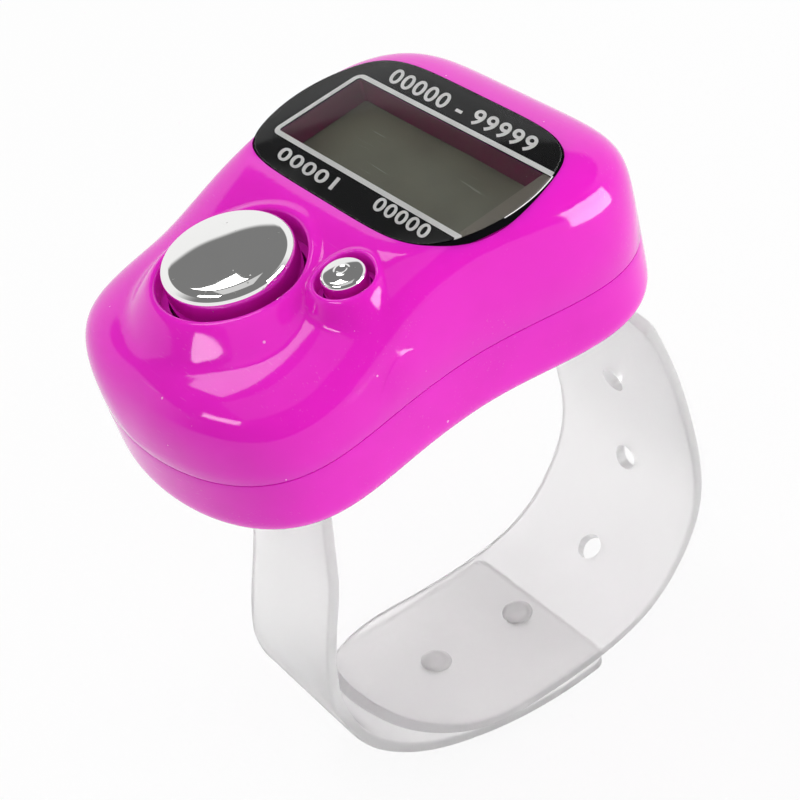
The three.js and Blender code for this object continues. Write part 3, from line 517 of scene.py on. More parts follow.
def inside(points, loop):
    """Which points lie inside a closed loop."""
    x, y = points[:, 0][:, None], points[:, 1][:, None]
    x0, y0 = loop[:, 0], loop[:, 1]
    x1, y1 = np.roll(x0, -1), np.roll(y0, -1)
    crosses = (y0 > y) != (y1 > y)
    at = x0 + (y - y0) * (x1 - x0) / np.where(y1 == y0, 1e-12, y1 - y0)
    return (crosses & (x < at)).sum(1) % 2 == 1


# Mesh building

class Skin:
    """A mesh in the making: loops of points joined by walls and filled areas."""

    def __init__(self):
        self.points = []
        self.faces = []
        self.smooth = []

    def loop(self, plan, height):
        """Adds a loop of points and returns their numbers."""
        start = len(self.points)
        heights = np.broadcast_to(height, len(plan))
        self.points.extend(zip(plan[:, 0], plan[:, 1], heights))
        return np.arange(start, start + len(plan))

    def wall(self, a, b, smooth=True):
        """Faces between two loops with as many points each, a below b on an outer wall."""
        for i in range(len(a)):
            j = (i + 1) % len(a)
            self.faces.append((a[i], a[j], b[j], b[i]))
            self.smooth.append(smooth)

    def walls(self, loops, smooth=True):
        """Walls from each loop to the next."""
        for a, b in zip(loops, loops[1:]):
            self.wall(a, b, smooth)

    def fill(self, outer, holes=(), extra=None, height=0.0, up=True, smooth=True):
        """Fills the area between an outer loop and its holes, through the extra points."""
        loops = [outer, *holes]
        known = np.concatenate(loops)
        plan = np.array([self.points[i][:2] for i in known])
        if extra is not None and len(extra):
            added = self.loop(extra, height)
            known = np.concatenate([known, added])
            plan = np.vstack([plan, extra])
        edges = []
        start = 0
        for one in loops:
            numbers = range(start, start + len(one))
            edges += [(i, start + (i - start + 1) % len(one)) for i in numbers]
            start += len(one)
        result = delaunay_2d_cdt([Vector(p) for p in plan / MM], edges, [], 0, 1e-6, True)
        if not all(result[3]):
            raise ValueError("outlines of a filled area cross each other")
        corners = np.array([[result[3][i][0] for i in face] for face in result[2]])
        middles = plan[corners].mean(1)
        keep = inside(middles, plan[: len(outer)])
        start = len(outer)
        for one in holes:
            keep &= ~inside(middles, plan[start : start + len(one)])
            start += len(one)
        for a, b, c in known[corners[keep]]:
            self.faces.append((a, b, c) if up else (a, c, b))
            self.smooth.append(smooth)

    def cap(self, ring, up=True):
        self.faces.append(tuple(ring) if up else tuple(reversed(ring)))
        self.smooth.append(False)

    def object(self, name, sharp_angle=40):
        mesh = bpy.data.meshes.new(name)
        mesh.from_pydata([tuple(map(float, p)) for p in self.points], [],
                         [tuple(map(int, f)) for f in self.faces])
        mesh.polygons.foreach_set("use_smooth", self.smooth)
        mesh.update()
        return finished_object(name, mesh, sharp_angle)


def linked(name, data):
    """A new object in the scene."""
    made = bpy.data.objects.new(name, data)
    bpy.context.scene.collection.objects.link(made)
    return made


def finished_object(name, mesh, sharp_angle=40):
    """A linked object whose edges sharper than the angle stay crisp."""
    piece = linked(name, mesh)
    mesh.set_sharp_from_angle(angle=math.radians(sharp_angle))
    return piece


def lathe(name, profile, centre, sides=128, sharp_angle=40):
    """A body turned round a vertical axis from (radius, height) points, ending on the axis."""
    skin = Skin()
    low = len(skin.points)
    skin.points.append((*centre, profile[0][1]))
    rings = [skin.loop(circle(centre, r, sides), z) for r, z in profile[1:-1]]
    high = len(skin.points)
    skin.points.append((*centre, profile[-1][1]))
    for i in range(sides):
        j = (i + 1) % sides
        skin.faces += [(low, rings[0][j], rings[0][i]), (high, rings[-1][i], rings[-1][j])]
        skin.smooth += [True, True]
    skin.walls(rings)
    return skin.object(name, sharp_angle)


def arc(centre_r, centre_z, radius, start, end, steps=8):
    """Part of a circle in a turned profile."""
    turns = np.radians(np.linspace(start, end, steps))
    return [(centre_r + radius * math.cos(t), centre_z + radius * math.sin(t)) for t in turns]


def plain_mesh(piece):
    """Replaces a piece's live modifiers by their result."""
    depsgraph = bpy.context.evaluated_depsgraph_get()
    mesh = bpy.data.meshes.new_from_object(piece.evaluated_get(depsgraph))
    piece.modifiers.clear()
    piece.data = mesh
    mesh.name = piece.name


def cut(piece, cutters):
    """Cuts other pieces out of one, and removes them."""
    for cutter in cutters:
        modifier = piece.modifiers.new("Cut", "BOOLEAN")
        modifier.operation = "DIFFERENCE"
        modifier.solver = "EXACT"
        modifier.object = cutter
        plain_mesh(piece)
        bpy.data.objects.remove(cutter)
    return piece


def join(pieces, name):
    """Puts several pieces' meshes into one object."""
    whole = bmesh.new()
    for piece in pieces:
        whole.from_mesh(piece.data)
        bpy.data.objects.remove(piece)
    mesh = bpy.data.meshes.new(name)
    whole.to_mesh(mesh)
    whole.free()
    return finished_object(name, mesh)


def block(name, size, place, bevel=0.0):
    """A box of a size, placed by a matrix, with its edges rounded or sharp."""
    mesh = bpy.data.meshes.new(name)
    shape = bmesh.new()
    bmesh.ops.create_cube(shape, size=1)
    bmesh.ops.transform(shape, matrix=place @ Matrix.Diagonal((*size, 1)), verts=shape.verts)
    if bevel:
        bmesh.ops.bevel(shape, geom=shape.edges, offset=bevel, segments=3, affect="EDGES")
    shape.to_mesh(mesh)
    shape.free()
    return linked(name, mesh)


def dress(piece, material, body="case", replaces=()):
    """Gives a piece its material, hangs it on its body, and hides the CAD parts that it stands for.
    """
    piece.data.materials.clear()
    piece.data.materials.append(material)
    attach(piece, body)
    if replaces:
        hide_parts(*replaces)
    return piece


# Shader node groups

def new_group(name, inputs, outputs):
    """An empty shader group with float, vector or colour sockets, and its two end nodes."""
    tree = bpy.data.node_groups.new(name, "ShaderNodeTree")
    kinds = {"value": "NodeSocketFloat", "vector": "NodeSocketVector", "colour": "NodeSocketColor"}
    for label, kind, default in inputs:
        socket = tree.interface.new_socket(label, in_out="INPUT", socket_type=kinds[kind])
        if default is not None:
            socket.default_value = default
    for label, kind in outputs:
        tree.interface.new_socket(label, in_out="OUTPUT", socket_type=kinds[kind])
    return tree, tree.nodes.new("NodeGroupInput"), tree.nodes.new("NodeGroupOutput")


def node(tree, kind, inputs=(), **settings):
    """Adds a node, sets its fields, and fills its sockets with values or links."""
    made = tree.nodes.new(kind)
    for key, value in settings.items():
        setattr(made, key, value)
    for key, value in dict(inputs).items():
        if isinstance(value, bpy.types.NodeSocket):
            tree.links.new(value, made.inputs[key])
        else:
            made.inputs[key].default_value = value
    return made


def math_node(tree, operation, a, b):
    return node(tree, "ShaderNodeMath", {0: a, 1: b}, operation=operation).outputs[0]


def between(tree, value, low, high):
    """The value mapped smoothly to 0 at low and 1 at high."""
    return node(tree, "ShaderNodeMapRange", {"Value": value, "From Min": low, "From Max": high},
                interpolation_type="SMOOTHSTEP").outputs["Result"]


def mixed(tree, factor, a, b):
    """A colour between two others."""
    made = node(tree, "ShaderNodeMix", {0: factor, 6: a, 7: b}, data_type="RGBA")
    return made.outputs[2]


def to_surface(tree, shader, output="Material Output"):
    tree.links.new(shader.outputs[0], tree.nodes[output].inputs["Surface"])


def make_dust_group():
    """Small pale specks scattered over a surface, each its own size."""
    tree, start, end = new_group(
        "Dust specks",
        [("Vector", "vector", None), ("Per Metre", "value", 1500.0), ("Amount", "value", 0.2)],
        [("Mask", "value")],
    )
    cells = node(tree, "ShaderNodeTexVoronoi",
                 {"Vector": start.outputs["Vector"], "Scale": start.outputs["Per Metre"]})
    chosen = node(tree, "ShaderNodeSeparateColor", {"Color": cells.outputs["Color"]})
    kept = math_node(tree, "LESS_THAN", chosen.outputs[0], start.outputs["Amount"])
    least, spread = 0.04, 0.09
    reach = math_node(tree, "MULTIPLY", chosen.outputs[1], spread)
    reach = math_node(tree, "ADD", reach, least)
    near = math_node(tree, "LESS_THAN", cells.outputs["Distance"], reach)
    mask = math_node(tree, "MULTIPLY", kept, near)
    tree.links.new(mask, end.inputs["Mask"])
    return tree


def make_scratch_group():
    """Fine crossing hairline scratches in patches."""
    tree, start, end = new_group(
        "Hairline scratches",
        [("Vector", "vector", None), ("Per Metre", "value", 220.0), ("Amount", "value", 0.5)],
        [("Mask", "value")],
    )
    lines = None
    for turn, stretch in ((0.4, 26.0), (1.3, 34.0), (2.5, 30.0)):
        turned = node(tree, "ShaderNodeMapping",
                      {"Vector": start.outputs["Vector"], "Rotation": (turn, 0.6 * turn, turn),
                       "Scale": (1.0, stretch, stretch)})
        noise = node(tree, "ShaderNodeTexNoise",
                     {"Vector": turned.outputs[0], "Scale": start.outputs["Per Metre"],
                      "Detail": 1.0})
        line = between(tree, noise.outputs[0], 0.70, 0.76)
        lines = line if lines is None else math_node(tree, "MAXIMUM", lines, line)
    patch = node(tree, "ShaderNodeTexNoise",
                 {"Vector": start.outputs["Vector"], "Scale": start.outputs["Per Metre"]})
    patch = between(tree, patch.outputs[0], 0.45, 0.62)
    mask = math_node(tree, "MULTIPLY", lines, patch)
    mask = math_node(tree, "MULTIPLY", mask, start.outputs["Amount"])
    tree.links.new(mask, end.inputs["Mask"])
    return tree


def make_waves_group():
    """The slow unevenness of a moulded or plated surface, as a height."""
    tree, start, end = new_group(
        "Moulded waviness",
        [("Vector", "vector", None), ("Per Metre", "value", 120.0)],
        [("Height", "value")],
    )
    slow = node(tree, "ShaderNodeTexNoise",
                {"Vector": start.outputs["Vector"], "Scale": start.outputs["Per Metre"],
                 "Detail": 2.0, "Roughness": 0.4})
    tree.links.new(slow.outputs[0], end.inputs["Height"])
    return tree


def make_clouds_group():
    """Soft cloudy patches, as on handled plastic."""
    tree, start, end = new_group(
        "Handling clouds",
        [("Vector", "vector", None), ("Per Metre", "value", 90.0)],
        [("Mask", "value")],
    )
    cloud = node(tree, "ShaderNodeTexNoise",
                 {"Vector": start.outputs["Vector"], "Scale": start.outputs["Per Metre"],
                  "Detail": 4.0, "Roughness": 0.6})
    tree.links.new(between(tree, cloud.outputs[0], 0.4, 0.7), end.inputs["Mask"])
    return tree


GROUPS = {}


def effect(tree, name, vector, **values):
    """Places one of the shared groups in a material."""
    inputs = {"Vector": vector}
    inputs.update({key.replace("_", " "): value for key, value in values.items()})
    return node(tree, "ShaderNodeGroup", inputs, node_tree=GROUPS[name]).outputs[0]


def new_material(name, **constants):
    """A material with a Principled shader, and what its nodes are made with."""
    material = bpy.data.materials.new(name)
    material.use_nodes = True
    tree = material.node_tree
    shader = tree.nodes["Principled BSDF"]
    for key, value in constants.items():
        shader.inputs[key.replace("_", " ")].default_value = value
    place = node(tree, "ShaderNodeTexCoord").outputs["Object"]
    return material, tree, shader, place


def rgba(tint):
    return (*tint, 1.0)


def grey(level):
    return (level, level, level, 1.0)


def shaded(tint, share):
    return [share * c for c in tint]


def add_bump(tree, shader, height, distance):
    bump = node(tree, "ShaderNodeBump", {"Height": height, "Distance": distance, "Strength": 1.0})
    tree.links.new(bump.outputs[0], shader.inputs["Normal"])


def add_wear(tree, shader, marks, clean, marked):
    """Makes a finish rougher where it is marked."""
    roughness = node(tree, "ShaderNodeMapRange",
                     {"Value": marks, "To Min": clean, "To Max": marked})
    tree.links.new(roughness.outputs[0], shader.inputs["Roughness"])


def scuffed(name, tint, deep, rough, worn_rough, dust=0.12, wave=0.00002, dust_tint=None,
            scratch=0.7, **constants):
    """A finish with cloudy tone, dust specks and hairline scratches."""
    material, tree, shader, place = new_material(name, **constants)
    clouds = effect(tree, "clouds", place, Per_Metre=70.0)
    specks = effect(tree, "dust", place, Per_Metre=1300.0, Amount=dust)
    lines = effect(tree, "scratches", place, Per_Metre=160.0, Amount=scratch)
    tone = mixed(tree, clouds, rgba(tint), rgba(deep))
    paler = dust_tint or tuple(min(1.0, 0.55 + 0.5 * c) for c in tint)
    marks = math_node(tree, "MAXIMUM", specks, math_node(tree, "MULTIPLY", lines, 0.25))
    soft = math_node(tree, "MULTIPLY", marks, 0.55)
    tree.links.new(mixed(tree, soft, tone, rgba(paler)), shader.inputs["Base Color"])
    add_wear(tree, shader, marks, rough, worn_rough)
    waves = effect(tree, "waves", place, Per_Metre=90.0)
    add_bump(tree, shader, waves, wave)
    return material


MATERIALS = {}


def make_materials():
    """Builds every finish of the counter."""
    GROUPS.update(dust=make_dust_group(), scratches=make_scratch_group(),
                  waves=make_waves_group(), clouds=make_clouds_group())
    colours = sizes("finishes")
    MATERIALS["case"] = scuffed(
        "Magenta gloss plastic", colours.plastic, colours.plastic_deep, 0.08, 0.4, dust=0.05,
        scratch=0.35, IOR=1.42, Subsurface_Weight=0.35, Subsurface_Scale=0.0012,
        Subsurface_Radius=(1.0, 0.25, 0.8))
    MATERIALS["chrome"] = scuffed(
        "Chrome plating", colours.chrome, shaded(colours.chrome, 0.93), 0.03, 0.3, dust=0.5,
        wave=0.00015, dust_tint=(0.25, 0.25, 0.24), Metallic=1.0)
    MATERIALS["print"] = scuffed(
        "Black print", colours.black_print, shaded(colours.black_print, 1.6), 0.5, 0.6,
        dust=0.0, scratch=0.0, Specular_IOR_Level=0.0)
    # Silver print for the line and digits, also used for the painted highlight on the lens's edge
    MATERIALS["silver"] = scuffed(
        "Silver print", colours.silver_print, shaded(colours.silver_print, 0.85), 0.5, 0.6,
        dust=0.2, Specular_IOR_Level=0.0)
    MATERIALS["lcd"] = scuffed(
        "Display glass", colours.glass, shaded(colours.glass, 0.82), 0.25, 0.5, dust=0.06)
    MATERIALS["lens"] = make_lens_material(colours)
    MATERIALS["strap"] = make_strap_material(colours)
    plain = {
        "film": ("Grey film", (0.2, 0.21, 0.17), 0.35, {}),
        # Dark purple for the window's walls: painted shade
        "window_wall_shade": ("Window lining", (0.17, 0.01, 0.065), 0.4, {}),
        "end": ("Clear end", (0.16, 0.135, 0.11), 0.4, {}),
        "zebra": ("Striped rubber", (0.55, 0.42, 0.4), 0.7, {}),
        "board": ("Green board", (0.02, 0.15, 0.04), 0.4, {"Coat_Weight": 0.3}),
        "chip": ("Black resin", (0.012, 0.012, 0.013), 0.25, {}),
        "ceramic": ("Tan ceramic", (0.45, 0.32, 0.16), 0.5, {}),
        "steel": ("Zinc plated steel", (0.56, 0.57, 0.6), 0.28, {"Metallic": 1.0}),
        "nickel": ("Nickel plate", (0.62, 0.6, 0.55), 0.22, {"Metallic": 1.0}),
        "dome": ("Soft rubber", (0.68, 0.68, 0.64), 0.6, {}),
        "carbon": ("Carbon pill", (0.02, 0.02, 0.02), 0.9, {}),
    }
    for key, (name, tint, rough, constants) in plain.items():
        worn = min(1.0, rough + 0.2)
        MATERIALS[key] = scuffed(name, tint, shaded(tint, 0.85), rough, worn, **constants)


def make_lens_material(colours):
    """Clear acrylic that shows the print under it, with a little dust on top."""
    material, tree, shader, place = new_material(
        "Clear lens", Transmission_Weight=1.0, IOR=1.2, Metallic=0.0)
    shader.inputs["Base Color"].default_value = rgba(colours.lens)
    specks = effect(tree, "dust", place, Per_Metre=1500.0, Amount=0.06)
    lines = effect(tree, "scratches", place, Per_Metre=160.0, Amount=0.6)
    add_wear(tree, shader, math_node(tree, "MAXIMUM", specks, lines), 0.01, 0.25)
    return material


def make_strap_material(colours):
    """Milky soft plastic that light passes through diffusely."""
    material, tree, shader, place = new_material(
        "Milky strap", Metallic=0.0, IOR=1.35, Transmission_Weight=0.88, Subsurface_Weight=0.5,
        Subsurface_Scale=0.003, Subsurface_Radius=(1.0, 1.0, 1.0), Specular_IOR_Level=0.35)
    clouds = effect(tree, "clouds", place, Per_Metre=60.0)
    tone = mixed(tree, clouds, rgba(colours.strap), rgba(shaded(colours.strap, 0.95)))
    tree.links.new(tone, shader.inputs["Base Color"])
    lines = effect(tree, "scratches", place, Per_Metre=120.0, Amount=0.6)
    add_wear(tree, shader, lines, 0.42, 0.6)
    waves = effect(tree, "waves", place, Per_Metre=260.0)
    add_bump(tree, shader, waves, 0.00006)
    return material


# Case

def well_radius(button):
    return button.radius + button.well_gap


def centre_of(button):
    return (button.centre_x, button.centre_y)


def feature_points(rim, boundary_loops):
    """Points that carry the roof's shape: rings round each opening, and rings over the rest."""
    case, panel = sizes("case"), sizes("display")
    cell = 0.45 * MM
    taken = {}
    kept = []

    def cell_of(x, y):
        return int(x // cell), int(y // cell)

    def add(points, spacing):
        for x, y in points:
            column, row = cell_of(x, y)
            near = (p for i in (-1, 0, 1) for j in (-1, 0, 1)
                    for p in taken.get((column + i, row + j), ()))
            if all((x - a) ** 2 + (y - b) ** 2 > spacing * spacing for a, b in near):
                taken.setdefault((column, row), []).append((x, y))
                kept.append((x, y))

    for loop in boundary_loops:
        for x, y in loop:
            taken.setdefault(cell_of(x, y), []).append((x, y))
    for name, number in WELL_POINTS.items():
        button = sizes(name)
        for last, step in zip((0, *WELL_RINGS), WELL_RINGS):
            if step * MM < button.collar_width + 0.5 * MM:
                ring = circle(centre_of(button), well_radius(button) + step * MM, number)
                add(ring, 0.7 * ((step - last) * MM))
    for growth, spacing in PANEL_RINGS:
        add(panel_outline(panel.gap + growth * MM), spacing * MM)
    for k in range(1, ROOF_RINGS):
        part = SIDE_SHARES[-1] * (1 - (k / ROOF_RINGS) ** 1.15)
        number = max(16, int(case.outline_points * part))
        add(evenly(rim * part, number), 0.2 * MM)
    points = np.array(kept)
    holes = np.zeros(len(points), bool)
    for loop in boundary_loops[1:]:
        holes |= inside(points, loop)
    return points[inside(points, boundary_loops[0]) & ~holes]


def build_top_shell():
    """The upper shell, with its recess for the display and its two button wells."""
    case, panel = sizes("case"), sizes("display")
    buttons = [sizes(name) for name in WELL_POINTS]
    seam = case.seam_height
    rim = case_outline()
    skin = Skin()

    # The outside: a rounded edge at the seam, steep sides in rings, then the filled roof
    inner_rim = skin.loop(case_outline(case.wall), seam + 0.03 * MM)
    edge = case.seam_round
    rings = [inner_rim, skin.loop(case_outline(edge), seam),
             skin.loop(case_outline(edge * 0.3), seam + edge * 0.3), skin.loop(rim, seam + edge)]
    for part in SIDE_SHARES[1:]:
        ring = rim * part
        rings.append(skin.loop(ring, seam + roof(ring[:, 0], ring[:, 1])))
    skin.walls(rings)
    panel_plan = panel_outline(panel.gap)
    well_plans = [circle(centre_of(button), well_radius(button), number)
                  for button, number in zip(buttons, WELL_POINTS.values())]
    top_holes = [skin.loop(plan, seam + roof(plan[:, 0], plan[:, 1]))
                 for plan in (panel_plan, *well_plans)]
    extra = feature_points(rim, [rim * SIDE_SHARES[-1], panel_plan, *well_plans])
    skin.fill(rings[-1], top_holes, extra, seam + roof(extra[:, 0], extra[:, 1]))

    # The display's recess: a wall, a ledge, and the window's walls
    ledge_level = seam + panel.level - panel.lens - panel.ledge
    ledge = skin.loop(panel_plan, ledge_level)
    skin.wall(top_holes[0], ledge)
    window_plan, grown_plan = window_outline(), window_outline(0.3 * MM)
    window_low = seam + panel.glass_level + 0.05 * MM
    window_rim = skin.loop(window_plan, ledge_level)
    skin.fill(ledge, [window_rim])
    window_foot = skin.loop(window_plan, window_low)
    grown_foot = skin.loop(grown_plan, window_low)
    inside_height = lambda plan: seam + np.minimum(
        case.roof_share * crown(plan[:, 0], plan[:, 1], case.wall),
        panel.level - panel.lens - 2 * panel.ledge)
    inner_holes = [skin.loop(grown_plan, inside_height(grown_plan))]
    skin.walls([window_rim, window_foot, grown_foot, inner_holes[0]])

    # The button wells, with a shelf, down to the foot of their guide skirts
    for button, plan, hole in zip(buttons, well_plans, top_holes[1:]):
        shelf = seam + collar_top(button) - button.well_depth
        corner = skin.loop(plan, shelf)
        guide_plan = circle(centre_of(button), button.radius + button.guide_gap, len(plan))
        guide = skin.loop(guide_plan, shelf)
        foot = skin.loop(guide_plan, SKIRT_FOOT)
        outer_plan = circle(centre_of(button), well_radius(button) + button.skirt, len(plan))
        outer_foot = skin.loop(outer_plan, SKIRT_FOOT)
        inner_holes.append(skin.loop(outer_plan, inside_height(outer_plan)))
        skin.walls([hole, corner, guide, foot, outer_foot, inner_holes[-1]])

    # The inside of the roof
    previous = inner_rim
    inner_plan = case_outline(case.wall)
    inner_shares = (0.999, 0.995, 0.988)
    for part in inner_shares:
        ring = skin.loop(inner_plan * part, inside_height(inner_plan * part))
        skin.wall(ring, previous)
        previous = ring
    grid = []
    for k in range(1, INNER_RINGS):
        part = inner_shares[-1] * (1 - k / INNER_RINGS)
        grid.append(evenly(inner_plan * part, max(12, int(90 * part))))
    grid = np.vstack(grid)
    free = np.ones(len(grid), bool)
    kept_clear = [window_outline(0.6 * MM)]
    kept_clear += [circle(centre_of(b), well_radius(b) + 0.7 * MM, 64) for b in buttons]
    for plan in kept_clear:
        free &= ~inside(grid, plan)
    grid = grid[free]
    skin.fill(previous, inner_holes, grid, inside_height(grid), up=False)
    piece = skin.object("top_case", 50)
    return dress(piece, MATERIALS["case"], replaces=["top_shell"])


def door_outline(growth):
    low = (DOOR[0].x - growth, DOOR[0].y - growth)
    high = (DOOR[1].x + growth, DOOR[1].y + growth)
    return rounded_box(low, high, 1.5 * MM + growth)


def screw_places(name_part):
    """The centres of the CAD screws whose names start alike."""
    places = []
    for name in sorted(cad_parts):
        if name.startswith(name_part):
            low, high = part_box(name)
            places.append((name, (low + high) / 2, low.z, high.z))
    return places


def slot_outline(y, growth=0.3 * MM):
    strap = sizes("strap")
    x, t = strap.neck_half_width + growth, strap.thickness / 2 + growth
    return rounded_box((-x, y - t), (x, y + t), t * 0.9, 6)


def neck_places():
    strap = sizes("strap")
    return (strap.front_slot - strap.thickness / 2, strap.back_slot + strap.thickness / 2)


def build_bottom_shell():
    """The lower shell, with the door's opening, the strap's slots and the screws' bores."""
    case = sizes("case")
    seam = case.seam_height - 0.02 * MM
    rim = case_outline()
    skin = Skin()

    # The outside, from the seam's rounded edge down the sides and round to the underside
    edge = case.seam_round
    inner_plan = case_outline(case.wall)
    inner_rim = skin.loop(inner_plan, seam - 0.03 * MM)
    rings = [inner_rim, skin.loop(case_outline(edge), seam)]
    rings.append(skin.loop(case_outline(edge * 0.3), seam - edge * 0.3))
    steps = 34
    for k in range(1, steps + 1):
        depth = 1 - (1 - k / steps) ** 2.2
        depth = max(depth, edge / case.seam_height)
        part = 1 - (1 - UNDERSIDE_SHARE) * depth ** UNDERSIDE_POWER
        rings.append(skin.loop(rim * part, case.seam_height * (1 - depth)))
    for a, b in zip(rings, rings[1:]):
        skin.wall(b, a)

    # The underside with its openings
    plans = [door_outline(0.1 * MM), *[slot_outline(y) for y in neck_places()]]
    holes = [skin.loop(plan, 0.0) for plan in plans]
    screws = [place[:2] for _, place, _, _ in screw_places("case_screw")]
    bores = [circle(place, BORE_RADIUS, 32) for place in screws]
    bore_loops = [skin.loop(plan, 0.0) for plan in bores]
    skin.fill(rings[-1], holes + bore_loops, up=False)
    for plan, low in zip(bores, bore_loops):
        top = skin.loop(plan, BORE_DEPTH)
        skin.wall(top, low)
        skin.cap(top, up=False)

    # The inside floor, with a sleeve round each screw
    inner_holes = [skin.loop(plan, case.floor) for plan in plans]
    for low, high in zip(holes, inner_holes):
        skin.wall(high, low)
    for place in screws:
        sleeve = circle(place, SLEEVE_RADIUS, 32)
        foot = skin.loop(sleeve, case.floor - 0.2 * MM)
        head = skin.loop(sleeve, SLEEVE_TOP)
        skin.wall(foot, head)
        skin.cap(foot, up=False)
        skin.cap(head)
    previous = inner_rim
    for depth in (0.5, 0.8, 0.93, 1.0):
        part = 1 - (1 - UNDERSIDE_SHARE) * depth ** UNDERSIDE_POWER
        ring = skin.loop(inner_plan * part, seam - (seam - case.floor) * depth)
        skin.wall(previous, ring)
        previous = ring
    skin.fill(previous, inner_holes)
    piece = skin.object("bottom_case", 50)
    return dress(piece, MATERIALS["case"], replaces=["bottom_shell"])


def build_door():
    """The battery door, with a bevelled foot and a sunk seat for its screw."""
    skin = Skin()
    top = DOOR[1].z
    bevel = 0.12 * MM
    rings = [skin.loop(door_outline(-bevel), 0.0),
             skin.loop(door_outline(-bevel * 0.3), bevel * 0.3),
             skin.loop(door_outline(0), bevel), skin.loop(door_outline(0), top)]
    skin.walls(rings)
    _, place, _, _ = screw_places("battery_door_screw")[0]
    seat_plan = circle(place[:2], BORE_RADIUS, 40)
    bore_plan = circle(place[:2], DOOR_BORE_RADIUS, 40)
    seat_low, seat_high = skin.loop(seat_plan, 0.0), skin.loop(seat_plan, HEAD_HEIGHT)
    bore_low, bore_high = skin.loop(bore_plan, HEAD_HEIGHT), skin.loop(bore_plan, top)
    skin.walls([bore_high, bore_low, seat_high, seat_low])
    skin.fill(rings[0], [seat_low], up=False)
    skin.fill(rings[-1], [bore_high])
    piece = skin.object("battery_cover", 30)
    return dress(piece, MATERIALS["case"], "battery_door", ["battery_door"])


# Display

def flat_plate(name, plan, low, high, holes=(), edge=0.0):
    """A flat plate between two levels, with openings and a rounded upper edge."""
    skin = Skin()
    centre = plan.mean(0)

    def inset(distance):
        return centre + (plan - centre) * (1 - distance / np.hypot(*(plan - centre).T))[:, None]

    rings = [skin.loop(plan, low), skin.loop(plan, high - edge)]
    for turn in (30, 60, 90) if edge else ():
        across, up = 1 - math.cos(math.radians(turn)), math.sin(math.radians(turn))
        rings.append(skin.loop(inset(edge * across), high - edge + edge * up))
    skin.walls(rings)
    pairs = [(skin.loop(hole, low), skin.loop(hole, high)) for hole in holes]
    for low_hole, high_hole in pairs:
        skin.wall(high_hole, low_hole)
    skin.fill(rings[-1], [high_hole for _, high_hole in pairs], smooth=False)
    skin.fill(rings[0], [low_hole for low_hole, _ in pairs], up=False, smooth=False)
    return skin.object(name, 50)


def lens_levels():
    """The lens's underside and top."""
    panel = sizes("display")
    top = sizes("case").seam_height + panel.level
    return top - panel.lens, top


def build_lens():
    panel = sizes("display")
    low, top = lens_levels()
    plan = panel_outline(-panel.black_rim - 0.02 * MM)
    piece = flat_plate("display_window", plan, low, top, edge=0.12 * MM)
    return dress(piece, MATERIALS["lens"], replaces=["display_lens"])


def build_print():
    """A black tray under the lens and round its edge, and the silver line round the window."""
    panel = sizes("display")
    lens_low, top = lens_levels()
    face, back = lens_low - PRINT_FACE, lens_low - PRINT_BACK
    rim = top - 0.1 * MM
    skin = Skin()
    outer, inner = panel_outline(0), panel_outline(-panel.black_rim)
    rings = [skin.loop(outer, back), skin.loop(outer, rim), skin.loop(inner, rim),
             skin.loop(inner, face)]
    skin.walls(rings)
    window = print_opening()
    low_hole, high_hole = skin.loop(window, back), skin.loop(window, face)
    skin.wall(high_hole, low_hole)
    skin.fill(rings[-1], [high_hole], smooth=False)
    skin.fill(rings[0], [low_hole], up=False, smooth=False)
    piece = skin.object("black_print", 30)
    dress(piece, MATERIALS["print"], replaces=["display_mask"])
    # The silver line is print round the window; along the lens's right edge it narrows to a strip
    # that is a painted highlight
    line = flat_plate("silver_line", print_opening(panel.line_width), face, face + INK,
                      holes=[print_opening(0.02 * MM)])
    dress(line, MATERIALS["silver"])

    # What shows through the print's opening to the right of the window
    right = print_end(0.0, panel.print_edge + 0.03 * MM)
    left = panel.window_right - 0.2 * MM
    strip = np.vstack([right, [(left, right[-1, 1]), (left, right[0, 1])]])
    end = flat_plate("clear_end", strip, back, back + 0.05 * MM)
    dress(end, MATERIALS["end"])


def build_painted_edge_glint():
    """A silver strip on the lens's right edge, where the print leaves it bare: a painted highlight.
    """
    panel = sizes("display")
    level = lens_levels()[1] - 0.09 * MM
    foot, head = -1.2, 3.7
    up = np.linspace(foot, head, 30) * MM + panel.window_y
    outer, inner = (np.stack([panel_half_width(up - panel.centre_y, growth), up], 1)
                    for growth in (-0.002 * MM, -panel.black_rim))
    plan = np.vstack([outer, inner[::-1]])
    # Silver strip that paints the highlight along the lens's edge
    piece = flat_plate("lens_edge_glint", plan, level, level + 0.03 * MM)
    dress(piece, MATERIALS["silver"])


def build_window_wall_painted_shade():
    """A dark sheet over the window's walls that paints the shade under the black print."""
    panel = sizes("display")
    low = sizes("case").seam_height + panel.glass_level + 0.06 * MM
    high = lens_levels()[0] - WALL_SHADE_TOP
    inner = window_outline(-0.05 * MM)
    # Painted shade: a dark sheet just inside the window's walls
    piece = flat_plate("window_liner", window_outline(-0.01 * MM), low, high, holes=[inner])
    dress(piece, MATERIALS["window_wall_shade"])


